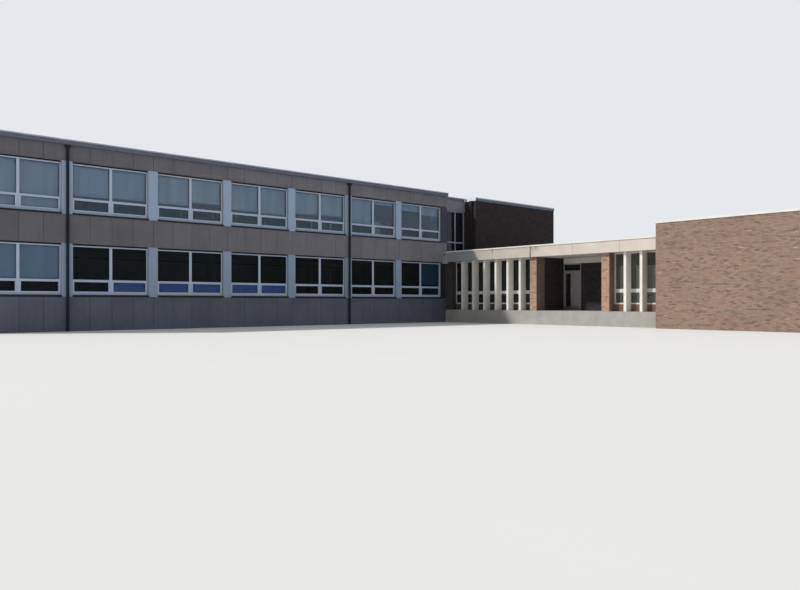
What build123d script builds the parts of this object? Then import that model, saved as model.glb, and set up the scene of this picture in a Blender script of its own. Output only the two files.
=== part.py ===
from build123d import *
import os

# School building: a two-storey classroom wing, a recessed link, a two-storey brick block,
# a one-storey entrance block with a porch, and a one-storey brick hall.
# Millimetres, +Z up. The origin is the bottom centre of the whole building's box.
# +X runs along the wing's long front from its free end to the brick block.
# The wing's front faces -Y, the entrance front faces -X.

# Driving dimensions: heights
plinth_top = 1430
sill_strip_height = 80
window_height = 2040
head_gap = 70
storey = 3380
parapet_panel_height = 640
ground_floor_level = 750
ground_slab_thickness = 250
floor_slab_thickness = 300
roof_slab_thickness = 300
roof_slab_below_wall_top = 190

# Driving dimensions: classroom wing
bay = 3600
bay_count = 7
end_pier = 260
wing_depth = 9600
panel_thickness = 70
panel_joint = 12
panels_per_bay = 4
gable_panel_count = 10
backing_thickness = 200
post_cover_width = 423
post_cover_recess = 30

# Driving dimensions: classroom windows
window_recess = 150
frame_depth = 80
frame_bar = 50
mullion_width = 117
transom_width = 100
bottom_rail = 133
lower_light_height = 397
sash_inset = 45
sash_overlap = 15
sash_step = 22
sill_projection = 30
sill_fall = 20
sill_lip_drop = 15
sill_lip_thickness = 12
glass_thickness = 24
head_trim_depth = 60

# Driving dimensions: link and brick block
link_width = 2590
link_recess = 945
block_width = 8030
brick_wall = 300
link_window_width = 1600
link_window_sill = 4350
tall_window_bar = 70
link_transom_level = 5000
link_mullion_width = 70

# Driving dimensions: roof edges and rainwater pipes
gutter_height = 210
gutter_overhang = 150
gutter_cap_height = 55
gutter_cap_step = 18
coping_overhang = 40
coping_height = 95
coping_fall = 15
pipe_diameter = 120
pipe_gap = 12
funnel_height = 150
funnel_rim = 60
funnel_width = 230
funnel_depth = 144
clip_height = 40
clip_width = 60
clips_per_pipe = 5
pipe_bays = (2, 6)

# Driving dimensions: entrance block
entrance_length = 14100
soffit_level = 3630
fascia_height = 560
fascia_thickness = 100
fascia_face = -300
fascia_joint = 12
fascia_panel = 2700
first_fascia_joint = 1250
spout_box_width = 320
spout_box_step = 100
spout_box_drop = 100
spout_box_wall = 50
spout_slot_height = 100
spout_slot_below_top = 130
fascia_cap_height = 70
low_roof_thickness = 300
kerb_width = 150
entrance_wall_face = 300
fin_front = -100
fin_width = 135
fin_pitch = 875
window_plinth_top = 1100
entrance_frame_bar = 75
entrance_frame_depth = 80
entrance_frame_setback = 50
entrance_lower_light_top = 1670
entrance_transom_top = 1850
first_window_start = 440
left_window_count = 7
brick_pier = 440
porch_start = 6910
porch_width = 4015
porch_depth = 1700
right_window_pitch = 850
porch_lintel_height = 300

# Driving dimensions: entrance doors
door_opening_width = 1160
door_opening_height = 2140
door_frame_bar = 60
door_frame_depth = 90
door_leaf_thickness = 45
door_gap = 8
door_stile = 95
door_bottom_rail = 220
handle_length = 400
handle_diameter = 25
handle_standoff = 45
hinges_per_leaf = 3
hinge_radius = 9
hinge_knuckle = 45
hinge_knuckle_gap = 0.5
hinge_flag_length = 34
hinge_flag_thickness = 3
hinge_end_distance = 200

# Driving dimensions: hall
hall_length = 10500
hall_projection = 600
hall_wall_top = 4795
hall_roof_below_wall_top = 300
hall_doorway_width = 1800
hall_doorway_height = 2150
hall_doorway_from_side = 5310

# Driving dimensions: windows of the hidden side
side_window_pitch = 3000
block_side_window_count = 2
entrance_side_window_count = 3

movement_joint = 10

# Levels worked out from the driving dimensions
ground_window_sill = plinth_top + sill_strip_height
ground_window_head = ground_window_sill + window_height + head_gap
upper_panel_bottom = ground_window_head
upper_panel_top = plinth_top + storey
upper_window_sill = upper_panel_top + sill_strip_height
upper_window_head = upper_window_sill + window_height + head_gap
wall_top = upper_window_head + parapet_panel_height
roof_top = wall_top + gutter_height
first_floor_level = ground_floor_level + storey
fascia_top = soffit_level + fascia_height
low_coping_top = fascia_top + fascia_cap_height

# Plan lines worked out from the driving dimensions
wing_length = bay_count * bay + 2 * end_pier
overall_length = gutter_overhang + wing_length + link_width + block_width + coping_overhang
overall_depth = coping_overhang + hall_length + entrance_length + wing_depth + gutter_overhang
wing_x0 = -overall_length / 2 + gutter_overhang
wing_x1 = wing_x0 + wing_length
block_x0 = wing_x1 + link_width
block_x1 = block_x0 + block_width
hall_y0 = -overall_depth / 2 + coping_overhang
hall_y1 = hall_y0 + hall_length
front_y = hall_y1 + entrance_length
rear_y = front_y + wing_depth
clad_wall = panel_thickness + backing_thickness
link_front_y = front_y + link_recess
link_rear_y = rear_y - link_recess
hall_x0 = wing_x1 - hall_projection
window_width = bay - post_cover_width
light_width = (window_width - 2 * frame_bar - mullion_width) / 2
upper_light_bottom = bottom_rail + lower_light_height + transom_width


def block(x0, x1, y0, y1, z0, z1):
    """A rectangular solid between two corners."""
    size = (x1 - x0, y1 - y0, z1 - z0)
    centre = ((x0 + x1) / 2, (y0 + y1) / 2, (z0 + z1) / 2)
    return Pos(*centre) * Box(*size)


def from_front(y_distance):
    """A Y coordinate measured from the wing's front line towards the hall."""
    return front_y - y_distance


def upright(sketch_on_xz, depth):
    """A flat pattern drawn in X and Z, given a depth towards +Y."""
    return extrude(Plane.XZ * sketch_on_xz, amount=-depth)


def rectangle_between(x0, x1, z0, z1):
    """A rectangle in a sketch, between two corners."""
    return Pos((x0 + x1) / 2, (z0 + z1) / 2) * Rectangle(x1 - x0, z1 - z0)


def both_sides(maker):
    """The solids that maker gives for the front, and their mirror on the rear."""
    mirror_plane = Plane(origin=(0, (front_y + rear_y) / 2, 0), z_dir=(0, 1, 0))
    front = maker()
    return front + [mirror(solid, about=mirror_plane) for solid in front]


# Classroom wing


def bay_lines():
    """X of each line between two bays, with the two outer ones."""
    return [wing_x0 + end_pier + number * bay for number in range(bay_count + 1)]


def panel_edges():
    """X of each vertical joint of the wing's front, with both ends."""
    step = bay / panels_per_bay
    first = wing_x0 + end_pier
    inner = [first + number * step for number in range(bay_count * panels_per_bay + 1)]
    return [wing_x0] + inner + [wing_x1]


def panel_row(z0, z1):
    """One horizontal row of cladding panels on the wing's front."""
    edges = panel_edges()
    half = panel_joint / 2
    row = []
    for left, right in zip(edges, edges[1:]):
        x0 = left if left == wing_x0 else left + half
        x1 = right if right == wing_x1 else right - half
        row.append(block(x0, x1, front_y, front_y + panel_thickness, z0, z1))
    return row


def gable_panels():
    """Cladding on the free end of the wing."""
    rows = (0, plinth_top, upper_panel_bottom, upper_panel_top, upper_window_head, wall_top)
    y0 = front_y + panel_thickness
    y1 = rear_y - panel_thickness
    step = (y1 - y0) / gable_panel_count
    half = panel_joint / 2
    solids = []
    for z0, z1 in zip(rows, rows[1:]):
        low = z0 if z0 == 0 else z0 + half
        high = z1 if z1 == wall_top else z1 - half
        for number in range(gable_panel_count):
            start = y0 + number * step + half
            end = y0 + (number + 1) * step - half
            solids.append(block(wing_x0, wing_x0 + panel_thickness, start, end, low, high))
    return solids


def return_panels():
    """Cladding on the wing's short return walls beside the link."""
    x0 = wing_x1 - panel_thickness
    y0 = front_y + panel_thickness + panel_joint / 2
    return [block(x0, wing_x1, y0, link_front_y, 0, wall_top)]


def upstand_walls():
    """The solid wall bands behind the panels of the wing's front."""
    y0 = front_y + panel_thickness
    y1 = front_y + clad_wall
    x0 = wing_x0 + clad_wall
    x1 = wing_x1 - clad_wall
    bands = ((0, plinth_top), (upper_panel_bottom, upper_panel_top), (upper_window_head, wall_top))
    return [block(x0, x1, y0, y1, low, high) for low, high in bands]


def storey_window_zones():
    """Lowest and highest level of the window row in each storey."""
    return ((plinth_top, upper_panel_bottom), (upper_panel_top, upper_window_head))


def wall_posts():
    """The load-bearing posts between the windows."""
    y0 = front_y + panel_thickness
    y1 = front_y + clad_wall
    half = post_cover_width / 2
    lines = bay_lines()
    solids = []
    for low, high in storey_window_zones():
        for line in lines[1:-1]:
            solids.append(block(line - half, line + half, y0, y1, low, high))
        solids.append(block(wing_x0 + clad_wall, lines[0] + half, y0, y1, low, high))
        solids.append(block(lines[-1] - half, wing_x1 - clad_wall, y0, y1, low, high))
    return solids


def post_covers():
    """The white facings of the posts."""
    half = post_cover_width / 2
    y0 = front_y + post_cover_recess
    y1 = front_y + panel_thickness
    return [
        block(line - half, line + half, y0, y1, low, high)
        for low, high in storey_window_zones()
        for line in bay_lines()[1:-1]
    ]


def end_pier_panels():
    """The clad piers at both ends of each window row."""
    half = post_cover_width / 2
    y1 = front_y + panel_thickness
    gap = panel_joint / 2
    lines = bay_lines()
    solids = []
    for low, high in storey_window_zones():
        for x0, x1 in ((wing_x0, lines[0] + half), (lines[-1] - half, wing_x1)):
            solids.append(block(x0, x1, front_y, y1, low + gap, high - gap))
    return solids


def gable_walls():
    """The load-bearing walls at both ends of the wing."""
    full_gable = block(
        wing_x0 + panel_thickness,
        wing_x0 + clad_wall,
        front_y + panel_thickness,
        rear_y - panel_thickness,
        0,
        wall_top,
    )
    x0 = wing_x1 - clad_wall
    x1 = wing_x1 - panel_thickness
    front_return = block(
        x0, x1, front_y + panel_thickness, link_front_y + brick_wall, 0, wall_top
    )
    rear_return = block(
        x0, x1, link_rear_y - brick_wall, rear_y - panel_thickness, 0, wall_top
    )
    return [full_gable, front_return, rear_return]


def light_columns():
    """Start and end of both columns of lights in a classroom window, from its left edge."""
    left0 = frame_bar
    right0 = left0 + light_width + mullion_width
    return ((left0, left0 + light_width), (right0, right0 + light_width))


def upper_lights():
    """The two fixed upper lights of a classroom window."""
    return [(x0, x1, upper_light_bottom, window_height - frame_bar) for x0, x1 in light_columns()]


def sash_lights():
    """The glass of the two opening sashes under them, narrower by the sashes' own bars."""
    z0 = bottom_rail
    z1 = z0 + lower_light_height
    return [(x0 + sash_inset, x1 - sash_inset, z0, z1) for x0, x1 in light_columns()]


def sash_ring(light):
    """The bars of one opening sash, as a step on the frame's outer face."""
    x0, x1, z0, z1 = light
    bar = sash_inset + sash_overlap
    outline = rectangle_between(x0 - bar, x1 + bar, z0 - bar, z1 + bar) - rectangle_between(*light)
    return Pos(0, -sash_step, 0) * upright(outline, sash_step)


def classroom_frame():
    """One classroom window frame, with its opening sashes standing proud in the lower lights."""
    outline = rectangle_between(0, window_width, 0, window_height)
    for light in upper_lights() + sash_lights():
        outline -= rectangle_between(*light)
    frame = upright(outline, frame_depth)
    for light in sash_lights():
        frame += sash_ring(light)
    return frame


def classroom_panes():
    """The panes of one classroom window."""
    y0 = (frame_depth - glass_thickness) / 2
    lights = upper_lights() + sash_lights()
    return [block(x0, x1, y0, y0 + glass_thickness, z0, z1) for x0, x1, z0, z1 in lights]


def window_origins():
    """The lower left outer corner of each classroom window of the front."""
    y = front_y + window_recess
    return [
        (line + post_cover_width / 2, y, sill)
        for sill in (ground_window_sill, upper_window_sill)
        for line in bay_lines()[:-1]
    ]


def wing_window_frames():
    frame = classroom_frame()
    return [Pos(*origin) * frame for origin in window_origins()]


def wing_window_glass():
    return [Pos(*origin) * pane for origin in window_origins() for pane in classroom_panes()]


def wing_window_sills():
    """Dark metal sills, sloping down from each window to a drip lip in front of the panels."""
    back = window_recess + frame_depth
    lip_back = -sill_projection + sill_lip_thickness
    section = (
        (back, 0),
        (window_recess, 0),
        (-sill_projection, -sill_fall),
        (-sill_projection, -sill_strip_height - sill_lip_drop),
        (lip_back, -sill_strip_height - sill_lip_drop),
        (lip_back, -sill_strip_height),
        (back, -sill_strip_height),
    )
    sill = extrude(Plane.YZ * make_face(Polyline(*section, close=True)), amount=window_width)
    return [Pos(x, front_y, z) * sill for x, _, z in window_origins()]


def wing_window_heads():
    """Dark trims that close the gap over each window."""
    trim = block(0, window_width, 0, head_trim_depth, window_height, window_height + head_gap)
    return [Pos(*origin) * trim for origin in window_origins()]


# Floors and main roof


def floor_plates(z0, z1):
    """One level of slabs: wing, link and brick block, with movement joints between them."""
    half = movement_joint / 2
    front_in = front_y + clad_wall
    rear_in = rear_y - clad_wall
    wing = block(wing_x0 + clad_wall, wing_x1 - clad_wall - half, front_in, rear_in, z0, z1)
    link = block(
        wing_x1 - clad_wall + half,
        block_x0 + brick_wall - half,
        link_front_y + brick_wall,
        link_rear_y - brick_wall,
        z0,
        z1,
    )
    brick = block(
        block_x0 + brick_wall + half,
        block_x1 - brick_wall,
        front_y + brick_wall,
        rear_y - brick_wall,
        z0,
        z1,
    )
    return [wing, link, brick]


def ground_floor_slabs():
    """Ground floor of every part of the building, the porch floor with it."""
    z0 = ground_floor_level - ground_slab_thickness
    z1 = ground_floor_level
    entrance = block(
        wing_x1 + entrance_wall_face + brick_wall,
        block_x1 - brick_wall,
        hall_y1,
        front_y,
        z0,
        z1,
    )
    hall = block(
        hall_x0 + brick_wall, block_x1 - brick_wall, hall_y0 + brick_wall, hall_y1 - brick_wall, z0, z1
    )
    passage = block(
        wing_x1,
        block_x0,
        front_y + movement_joint,
        link_front_y + brick_wall - movement_joint,
        z0,
        z1,
    )
    return floor_plates(z0, z1) + [passage, entrance, hall]


def main_roof_slabs():
    z1 = wall_top - roof_slab_below_wall_top
    return floor_plates(z1 - roof_slab_thickness, z1)


# Roof edges


def roof_edge_profile(wall_thickness, overhang):
    """Section of a metal roof edge: a plain face with a wider cap. X is outwards, from the wall face."""
    z0 = wall_top
    z1 = roof_top - gutter_cap_height
    z2 = roof_top
    face = overhang - gutter_cap_step
    points = (
        (-wall_thickness, z0),
        (face, z0),
        (face, z1),
        (overhang, z1),
        (overhang, z2),
        (-wall_thickness, z2),
    )
    return make_face(Polyline(*points, close=True))


def roof_edge_run(corner, outwards, length, wall_thickness, overhang):
    """A roof edge that starts at a corner in plan and runs to the right of its outward direction."""
    ox, oy = outwards
    section = Plane(origin=(corner[0], corner[1], 0), x_dir=(ox, oy, 0), z_dir=(oy, -ox, 0))
    return extrude(section * roof_edge_profile(wall_thickness, overhang), amount=length)


def wing_gutter():
    """The box edge round the wing: two long sides and the free end, with open butt joints."""
    long_length = wing_length + gutter_overhang
    long_side = roof_edge_run((wing_x1, front_y), (0, -1), long_length, clad_wall, gutter_overhang)
    end_start = front_y + clad_wall + movement_joint
    end_length = wing_depth - 2 * clad_wall - 2 * movement_joint
    end_side = roof_edge_run((wing_x0, end_start), (-1, 0), end_length, clad_wall, gutter_overhang)
    mirror_plane = Plane(origin=(0, (front_y + rear_y) / 2, 0), z_dir=(0, 1, 0))
    return [long_side, mirror(long_side, about=mirror_plane), end_side]


def front_roof_edges():
    """The metal roof edges of the brick block's front, the link's front and the short returns between."""
    over = coping_overhang
    gap = movement_joint
    front_length = block_width + 2 * over
    front = roof_edge_run((block_x1 + over, front_y), (0, -1), front_length, brick_wall, over)
    link_length = link_width - over - 2 * gap
    link = roof_edge_run((wing_x1 + gap + link_length, link_front_y), (0, -1), link_length, brick_wall, over)
    y0 = front_y + brick_wall + gap
    y1 = link_front_y - over - gap
    block_return = block(block_x0 - over, block_x0 + brick_wall, y0, y1, wall_top, roof_top)
    wing_y0 = front_y + clad_wall + gap
    wing_return = block(wing_x1 - clad_wall, wing_x1, wing_y0, link_front_y, wall_top, roof_top)
    return [front, link, block_return, wing_return]


def side_roof_edge():
    """The metal roof edge of the brick block's outer side."""
    start = rear_y - brick_wall - movement_joint
    length = wing_depth - 2 * brick_wall - 2 * movement_joint
    return [roof_edge_run((block_x1, start), (1, 0), length, brick_wall, coping_overhang)]


def downpipe(x, y_wall, foot, facing):
    """A rainwater pipe with its funnel and clips. It stands clear of a wall that faces -Y or -X."""
    radius = pipe_diameter / 2
    reach = radius + pipe_gap
    top = wall_top
    throat = top - funnel_height
    body = extrude(Pos(0, 0, foot) * Circle(radius), amount=throat - foot)
    side = funnel_width / 2
    neck = pipe_diameter / 2
    outline = ((-neck, throat), (neck, throat), (side, top - funnel_rim), (side, top), (-side, top),
               (-side, top - funnel_rim))
    funnel = upright(make_face(Polyline(*outline, close=True)), funnel_depth)
    body += Pos(0, reach - funnel_depth, 0) * funnel
    for number in range(clips_per_pipe):
        z = foot + (number + 0.5) * (throat - foot) / clips_per_pipe
        body += block(-clip_width / 2, clip_width / 2, 0, reach, z, z + clip_height)
    turned = Rot(0, 0, 0 if facing == "-Y" else -90) * body
    shift = (0, -reach) if facing == "-Y" else (-reach, 0)
    return Pos(x + shift[0], y_wall + shift[1], 0) * turned


def wing_downpipes():
    lines = bay_lines()
    return [downpipe(lines[bay_count - number], front_y, 0, "-Y") for number in pipe_bays]


def block_downpipe():
    y = front_y + link_recess / 3
    return [downpipe(block_x0, y, low_coping_top, "-X")]


# Link and brick block


def link_panels():
    """The panels over the link's tall windows."""
    x0 = wing_x1
    x1 = block_x0
    front = block(x0, x1, link_front_y, link_front_y + brick_wall, upper_window_head, wall_top)
    rear = block(x0, x1, link_rear_y - brick_wall, link_rear_y, upper_window_head, wall_top)
    return [front, rear]


def link_window_x0():
    return block_x0 - link_window_width


def link_window_height():
    return upper_window_head - link_window_sill


def link_side_walls():
    """The wall beside and under the link's windows."""
    x0 = wing_x1
    x1 = link_window_x0()
    y0 = link_front_y
    y1 = link_front_y + brick_wall
    beside = block(x0, x1, y0, y1, link_window_sill, upper_window_head)
    return [beside]


def link_sill_walls():
    """The band under the link's tall windows."""
    y1 = link_front_y + brick_wall
    front = block(wing_x1, block_x0, link_front_y, y1, soffit_level, link_window_sill)
    y0 = link_rear_y - brick_wall
    rear = block(wing_x1, block_x0, y0, link_rear_y, 0, link_window_sill)
    return [front, rear]


def link_frame_lights():
    """The four lights of the link's tall window, from its lower left corner."""
    bar = tall_window_bar
    middle = (link_window_width - link_mullion_width) / 2
    height = link_window_height()
    transom = link_transom_level - link_window_sill
    columns = ((bar, middle), (middle + link_mullion_width, link_window_width - bar))
    rows = ((bar, transom - bar / 2), (transom + bar / 2, height - bar))
    return [(x0, x1, z0, z1) for x0, x1 in columns for z0, z1 in rows]


def tall_window_places():
    """Where each tall window stands: the middle of its wall's thickness, its lower left corner outside."""
    upper = link_window_sill
    half_wall = brick_wall / 2
    x = link_window_x0()
    places = [
        Pos(x, link_front_y + half_wall, upper),
        Pos(x + link_window_width, link_rear_y - half_wall, upper) * Rot(0, 0, 180),
    ]
    x = block_x1 - half_wall
    for y in side_window_starts(front_y, rear_y, block_side_window_count):
        for sill in (upper - storey, upper):
            places.append(Pos(x, y, sill) * Rot(0, 0, 90))
    for y in side_window_starts(hall_y1, front_y, entrance_side_window_count):
        places.append(Pos(x, y, upper - storey) * Rot(0, 0, 90))
    return places


def side_window_starts(y0, y1, count):
    """Start of each window in a row that is centred between two ends of a side wall."""
    first = (y0 + y1 - (count - 1) * side_window_pitch - link_window_width) / 2
    return [first + number * side_window_pitch for number in range(count)]


def tall_window_frames():
    outline = rectangle_between(0, link_window_width, 0, link_window_height())
    for light in link_frame_lights():
        outline -= rectangle_between(*light)
    frame = Pos(0, -frame_depth / 2, 0) * upright(outline, frame_depth)
    return [place * frame for place in tall_window_places()]


def tall_window_glass():
    half = glass_thickness / 2
    panes = [block(x0, x1, -half, half, z0, z1) for x0, x1, z0, z1 in link_frame_lights()]
    return [place * pane for place in tall_window_places() for pane in panes]


def side_wall(y0, y1, z1, window_starts, sills):
    """A brick wall of the hidden side, with holes for its windows."""
    wall = block(block_x1 - brick_wall, block_x1, y0, y1, 0, z1)
    for start in window_starts:
        for sill in sills:
            wall -= block(
                block_x1 - brick_wall,
                block_x1,
                start,
                start + link_window_width,
                sill,
                sill + link_window_height(),
            )
    return wall


def block_long_walls():
    """The brick block's front and rear walls."""
    front = block(block_x0, block_x1, front_y, front_y + brick_wall, 0, wall_top)
    rear = block(block_x0, block_x1, rear_y - brick_wall, rear_y, 0, wall_top)
    return [front, rear]


def block_side_walls():
    """The brick block's outer side wall and its short returns beside the link."""
    y0 = front_y + brick_wall
    y1 = rear_y - brick_wall
    starts = side_window_starts(front_y, rear_y, block_side_window_count)
    side = side_wall(y0, y1, wall_top, starts, (link_window_sill - storey, link_window_sill))
    front_return = block(block_x0, block_x0 + brick_wall, y0, link_front_y + brick_wall, 0, wall_top)
    rear_return = block(block_x0, block_x0 + brick_wall, link_rear_y - brick_wall, y1, 0, wall_top)
    return [side, front_return, rear_return]


# Entrance block


def fascia_edges():
    """Y distances of the fascia's panel joints from the wing's front, with both ends."""
    edges = [spout_box_width, first_fascia_joint]
    while edges[-1] + fascia_panel < entrance_length:
        edges.append(edges[-1] + fascia_panel)
    return edges + [entrance_length]


def fascia_panels():
    x0 = wing_x1 + fascia_face
    edges = fascia_edges()
    half = fascia_joint / 2
    solids = []
    for near, far in zip(edges, edges[1:]):
        start = near + half
        end = far if far == entrance_length else far - half
        solids.append(
            block(x0, x0 + fascia_thickness, from_front(end), from_front(start), soffit_level, fascia_top)
        )
    return solids


def rainwater_spout_box():
    """The concrete box that ends the fascia beside the wing, hollow, with an overflow slot in its face."""
    x0 = wing_x1 + fascia_face - spout_box_step
    x1 = wing_x1 + fascia_face + fascia_thickness
    y0 = from_front(spout_box_width)
    z0 = soffit_level - spout_box_drop
    wall = spout_box_wall
    box = block(x0, x1, y0, front_y, z0, low_coping_top)
    box -= block(x0 + wall, x1 - wall, y0 + wall, front_y - wall, z0 + wall, low_coping_top)
    slot_top = low_coping_top - spout_slot_below_top
    box -= block(x0, x0 + wall, y0 + wall, front_y - wall, slot_top - spout_slot_height, slot_top)
    return [box]


def coping_run(length, depth, height):
    """A coping along +X. Its outer edge, on the -Y side, is the high one."""
    section = ((0, 0), (depth, 0), (depth, height - coping_fall), (0, height))
    return extrude(Plane.YZ * make_face(Polyline(*section, close=True)), amount=length)


def low_roof_edge_copings():
    """The low roof's copings: on the fascia and on the hidden side's wall."""
    over = coping_overhang
    x0 = wing_x1 + fascia_face - over
    start = from_front(spout_box_width + fascia_joint / 2)
    fascia_run = coping_run(start - hall_y1, fascia_thickness + kerb_width + over, fascia_cap_height)
    side_run = coping_run(entrance_length, brick_wall + 2 * over, fascia_cap_height)
    return [
        Pos(x0, start, fascia_top) * Rot(0, 0, -90) * fascia_run,
        Pos(block_x1 + over, hall_y1, fascia_top) * Rot(0, 0, 90) * side_run,
    ]


def low_roof_kerb():
    x0 = wing_x1 + fascia_face + fascia_thickness
    z0 = soffit_level + low_roof_thickness
    return [block(x0, x0 + kerb_width, hall_y1, front_y, z0, fascia_top)]


def low_roof_slab():
    """The entrance block's roof."""
    x0 = wing_x1 + fascia_face + fascia_thickness
    z1 = soffit_level + low_roof_thickness
    return [block(x0, block_x1 - brick_wall, hall_y1, front_y, soffit_level, z1)]


def recess_roof_slab():
    """The low roof's strip that closes the link's recess."""
    z1 = soffit_level + low_roof_thickness
    y0 = front_y + movement_joint
    return [block(wing_x1, block_x0, y0, link_front_y, soffit_level, z1)]


def left_window_end():
    return porch_start - brick_pier


def porch_end():
    return porch_start + porch_width


def right_window_start():
    return porch_end() + brick_pier


def fin_lines():
    """Y distances of the fins' middle lines from the wing's front."""
    first = first_window_start + fin_pitch + fin_width / 2
    left = [first + number * fin_pitch for number in range(left_window_count - 1)]
    right_window_count = int((entrance_length - right_window_start()) // right_window_pitch)
    right = [
        right_window_start() + number * right_window_pitch
        for number in range(1, right_window_count)
    ]
    return left + right


def entrance_fins():
    """The deep white fins between the entrance windows."""
    x0 = wing_x1 + fin_front
    x1 = wing_x1 + entrance_wall_face + entrance_frame_setback
    half = fin_width / 2
    return [
        block(x0, x1, from_front(line + half), from_front(line - half), ground_floor_level, soffit_level)
        for line in fin_lines()
    ]


def entrance_base():
    """The base that carries the entrance front down to the lowest ground."""
    x0 = wing_x1 + fin_front
    x1 = wing_x1 + entrance_wall_face + brick_wall
    return [block(x0, x1, hall_y1, front_y, 0, ground_floor_level)]


def window_plinths():
    """The low brick walls under the entrance windows."""
    x0 = wing_x1 + entrance_wall_face + entrance_frame_setback
    x1 = wing_x1 + entrance_wall_face + brick_wall
    spans = ((first_window_start, left_window_end()), (right_window_start(), entrance_length))
    return [
        block(x0, x1, from_front(far), from_front(near), ground_floor_level, window_plinth_top)
        for near, far in spans
    ]


def entrance_piers():
    """The brick piers: beside the wing and on both sides of the porch."""
    x0 = wing_x1 + fin_front
    x1 = wing_x1 + entrance_wall_face + brick_wall
    spans = (
        (0, first_window_start),
        (left_window_end(), porch_start),
        (porch_end(), right_window_start()),
    )
    return [
        block(x0, x1, from_front(far), from_front(near), ground_floor_level, soffit_level)
        for near, far in spans
    ]


def ribbon_columns(length, mullions):
    """Start and end of each glazed column of a window ribbon with mullions at given distances."""
    bar = entrance_frame_bar
    edges = [0] + mullions + [length]
    columns = []
    for start, end in zip(edges, edges[1:]):
        start_bar = bar if start == 0 else bar / 2
        end_bar = bar if end == length else bar / 2
        columns.append((start + start_bar, end - end_bar))
    return columns


def ribbon_rows():
    bar = entrance_frame_bar
    low = (bar, entrance_lower_light_top - window_plinth_top)
    high = (entrance_transom_top - window_plinth_top, soffit_level - window_plinth_top - bar)
    return (low, high)


def ribbons():
    """Start, length and mullion distances of both window ribbons of the entrance front."""
    lines = fin_lines()
    left_lines = [line - first_window_start for line in lines[: left_window_count - 1]]
    right_lines = [line - right_window_start() for line in lines[left_window_count - 1 :]]
    return (
        (first_window_start, left_window_end() - first_window_start, left_lines),
        (right_window_start(), entrance_length - right_window_start(), right_lines),
    )


def entrance_placement(start, depth_in):
    """Puts a pattern drawn along +X and +Z onto the entrance front, running towards the hall."""
    x = wing_x1 + entrance_wall_face + entrance_frame_setback + depth_in
    return Pos(x, from_front(start), window_plinth_top) * Rot(0, 0, -90)


def entrance_window_frames():
    height = soffit_level - window_plinth_top
    solids = []
    for start, length, mullions in ribbons():
        outline = rectangle_between(0, length, 0, height)
        for x0, x1 in ribbon_columns(length, mullions):
            for z0, z1 in ribbon_rows():
                outline -= rectangle_between(x0, x1, z0, z1)
        solids.append(entrance_placement(start, 0) * upright(outline, entrance_frame_depth))
    return solids


def entrance_window_glass():
    inset = (entrance_frame_depth - glass_thickness) / 2
    solids = []
    for start, length, mullions in ribbons():
        for x0, x1 in ribbon_columns(length, mullions):
            for z0, z1 in ribbon_rows():
                pane = block(x0, x1, 0, glass_thickness, z0, z1)
                solids.append(entrance_placement(start, inset) * pane)
    return solids


def porch_back_x():
    return wing_x1 + entrance_wall_face + brick_wall + porch_depth


def porch_side_walls():
    """The brick walls at both sides of the porch, in line with its piers."""
    x0 = wing_x1 + entrance_wall_face + brick_wall
    x1 = porch_back_x() + brick_wall
    near = block(
        x0, x1, from_front(porch_start), from_front(porch_start - brick_wall), ground_floor_level,
        soffit_level,
    )
    far = block(
        x0, x1, from_front(porch_end() + brick_wall), from_front(porch_end()), ground_floor_level,
        soffit_level,
    )
    return [near, far]


def door_opening_end():
    return porch_start + door_opening_width


def porch_back_wall():
    """The brick wall behind the porch, beside the doors."""
    x0 = porch_back_x()
    return [
        block(
            x0,
            x0 + brick_wall,
            from_front(porch_end()),
            from_front(door_opening_end()),
            ground_floor_level,
            soffit_level - porch_lintel_height,
        )
    ]


def porch_lintel():
    x0 = porch_back_x()
    z0 = soffit_level - porch_lintel_height
    return [block(x0, x0 + brick_wall, from_front(porch_end()), from_front(porch_start), z0, soffit_level)]


def door_set_height():
    return soffit_level - porch_lintel_height - ground_floor_level


def door_placement(depth_in):
    """Puts a pattern drawn along +X and +Z onto the porch's back, from its near corner."""
    return Pos(porch_back_x() + depth_in, from_front(porch_start), ground_floor_level) * Rot(0, 0, -90)


def fanlight_rectangle():
    z0 = door_opening_height + door_frame_bar
    return (door_frame_bar, door_opening_width - door_frame_bar, z0, door_set_height() - door_frame_bar)


def entrance_door_frame():
    """Jambs, head and transom bar of the doors, open down to the floor."""
    outline = rectangle_between(0, door_opening_width, 0, door_set_height())
    outline -= rectangle_between(door_frame_bar, door_opening_width - door_frame_bar, 0, door_opening_height)
    outline -= rectangle_between(*fanlight_rectangle())
    return [door_placement(0) * upright(outline, door_frame_depth)]


def entrance_fanlight():
    x0, x1, z0, z1 = fanlight_rectangle()
    inset = (door_frame_depth - glass_thickness) / 2
    return [door_placement(inset) * block(x0, x1, 0, glass_thickness, z0, z1)]


def leaf_width():
    clear = door_opening_width - 2 * door_frame_bar - 3 * door_gap
    return clear / 2


def leaf_height():
    return door_opening_height - 2 * door_gap


def leaf_start(side):
    """Distance of a leaf's near edge from the porch's near corner."""
    first = door_frame_bar + door_gap
    return first if side == "left" else first + leaf_width() + door_gap


def glazed_leaf():
    """The glazed leaf: stiles and rails round one tall pane."""
    outline = rectangle_between(0, leaf_width(), 0, leaf_height())
    outline -= rectangle_between(
        door_stile, leaf_width() - door_stile, door_bottom_rail, leaf_height() - door_stile
    )
    return upright(outline, door_leaf_thickness)


def place_leaf(side, solid):
    return door_placement(0) * Pos(leaf_start(side), 0, door_gap) * solid


def left_door_leaf():
    return [place_leaf("left", glazed_leaf())]


def left_door_glass():
    inset = (door_leaf_thickness - glass_thickness) / 2
    pane = block(
        door_stile,
        leaf_width() - door_stile,
        inset,
        inset + glass_thickness,
        door_bottom_rail,
        leaf_height() - door_stile,
    )
    return [place_leaf("left", pane)]


def right_door_leaf():
    return [place_leaf("right", block(0, leaf_width(), 0, door_leaf_thickness, 0, leaf_height()))]


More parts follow.
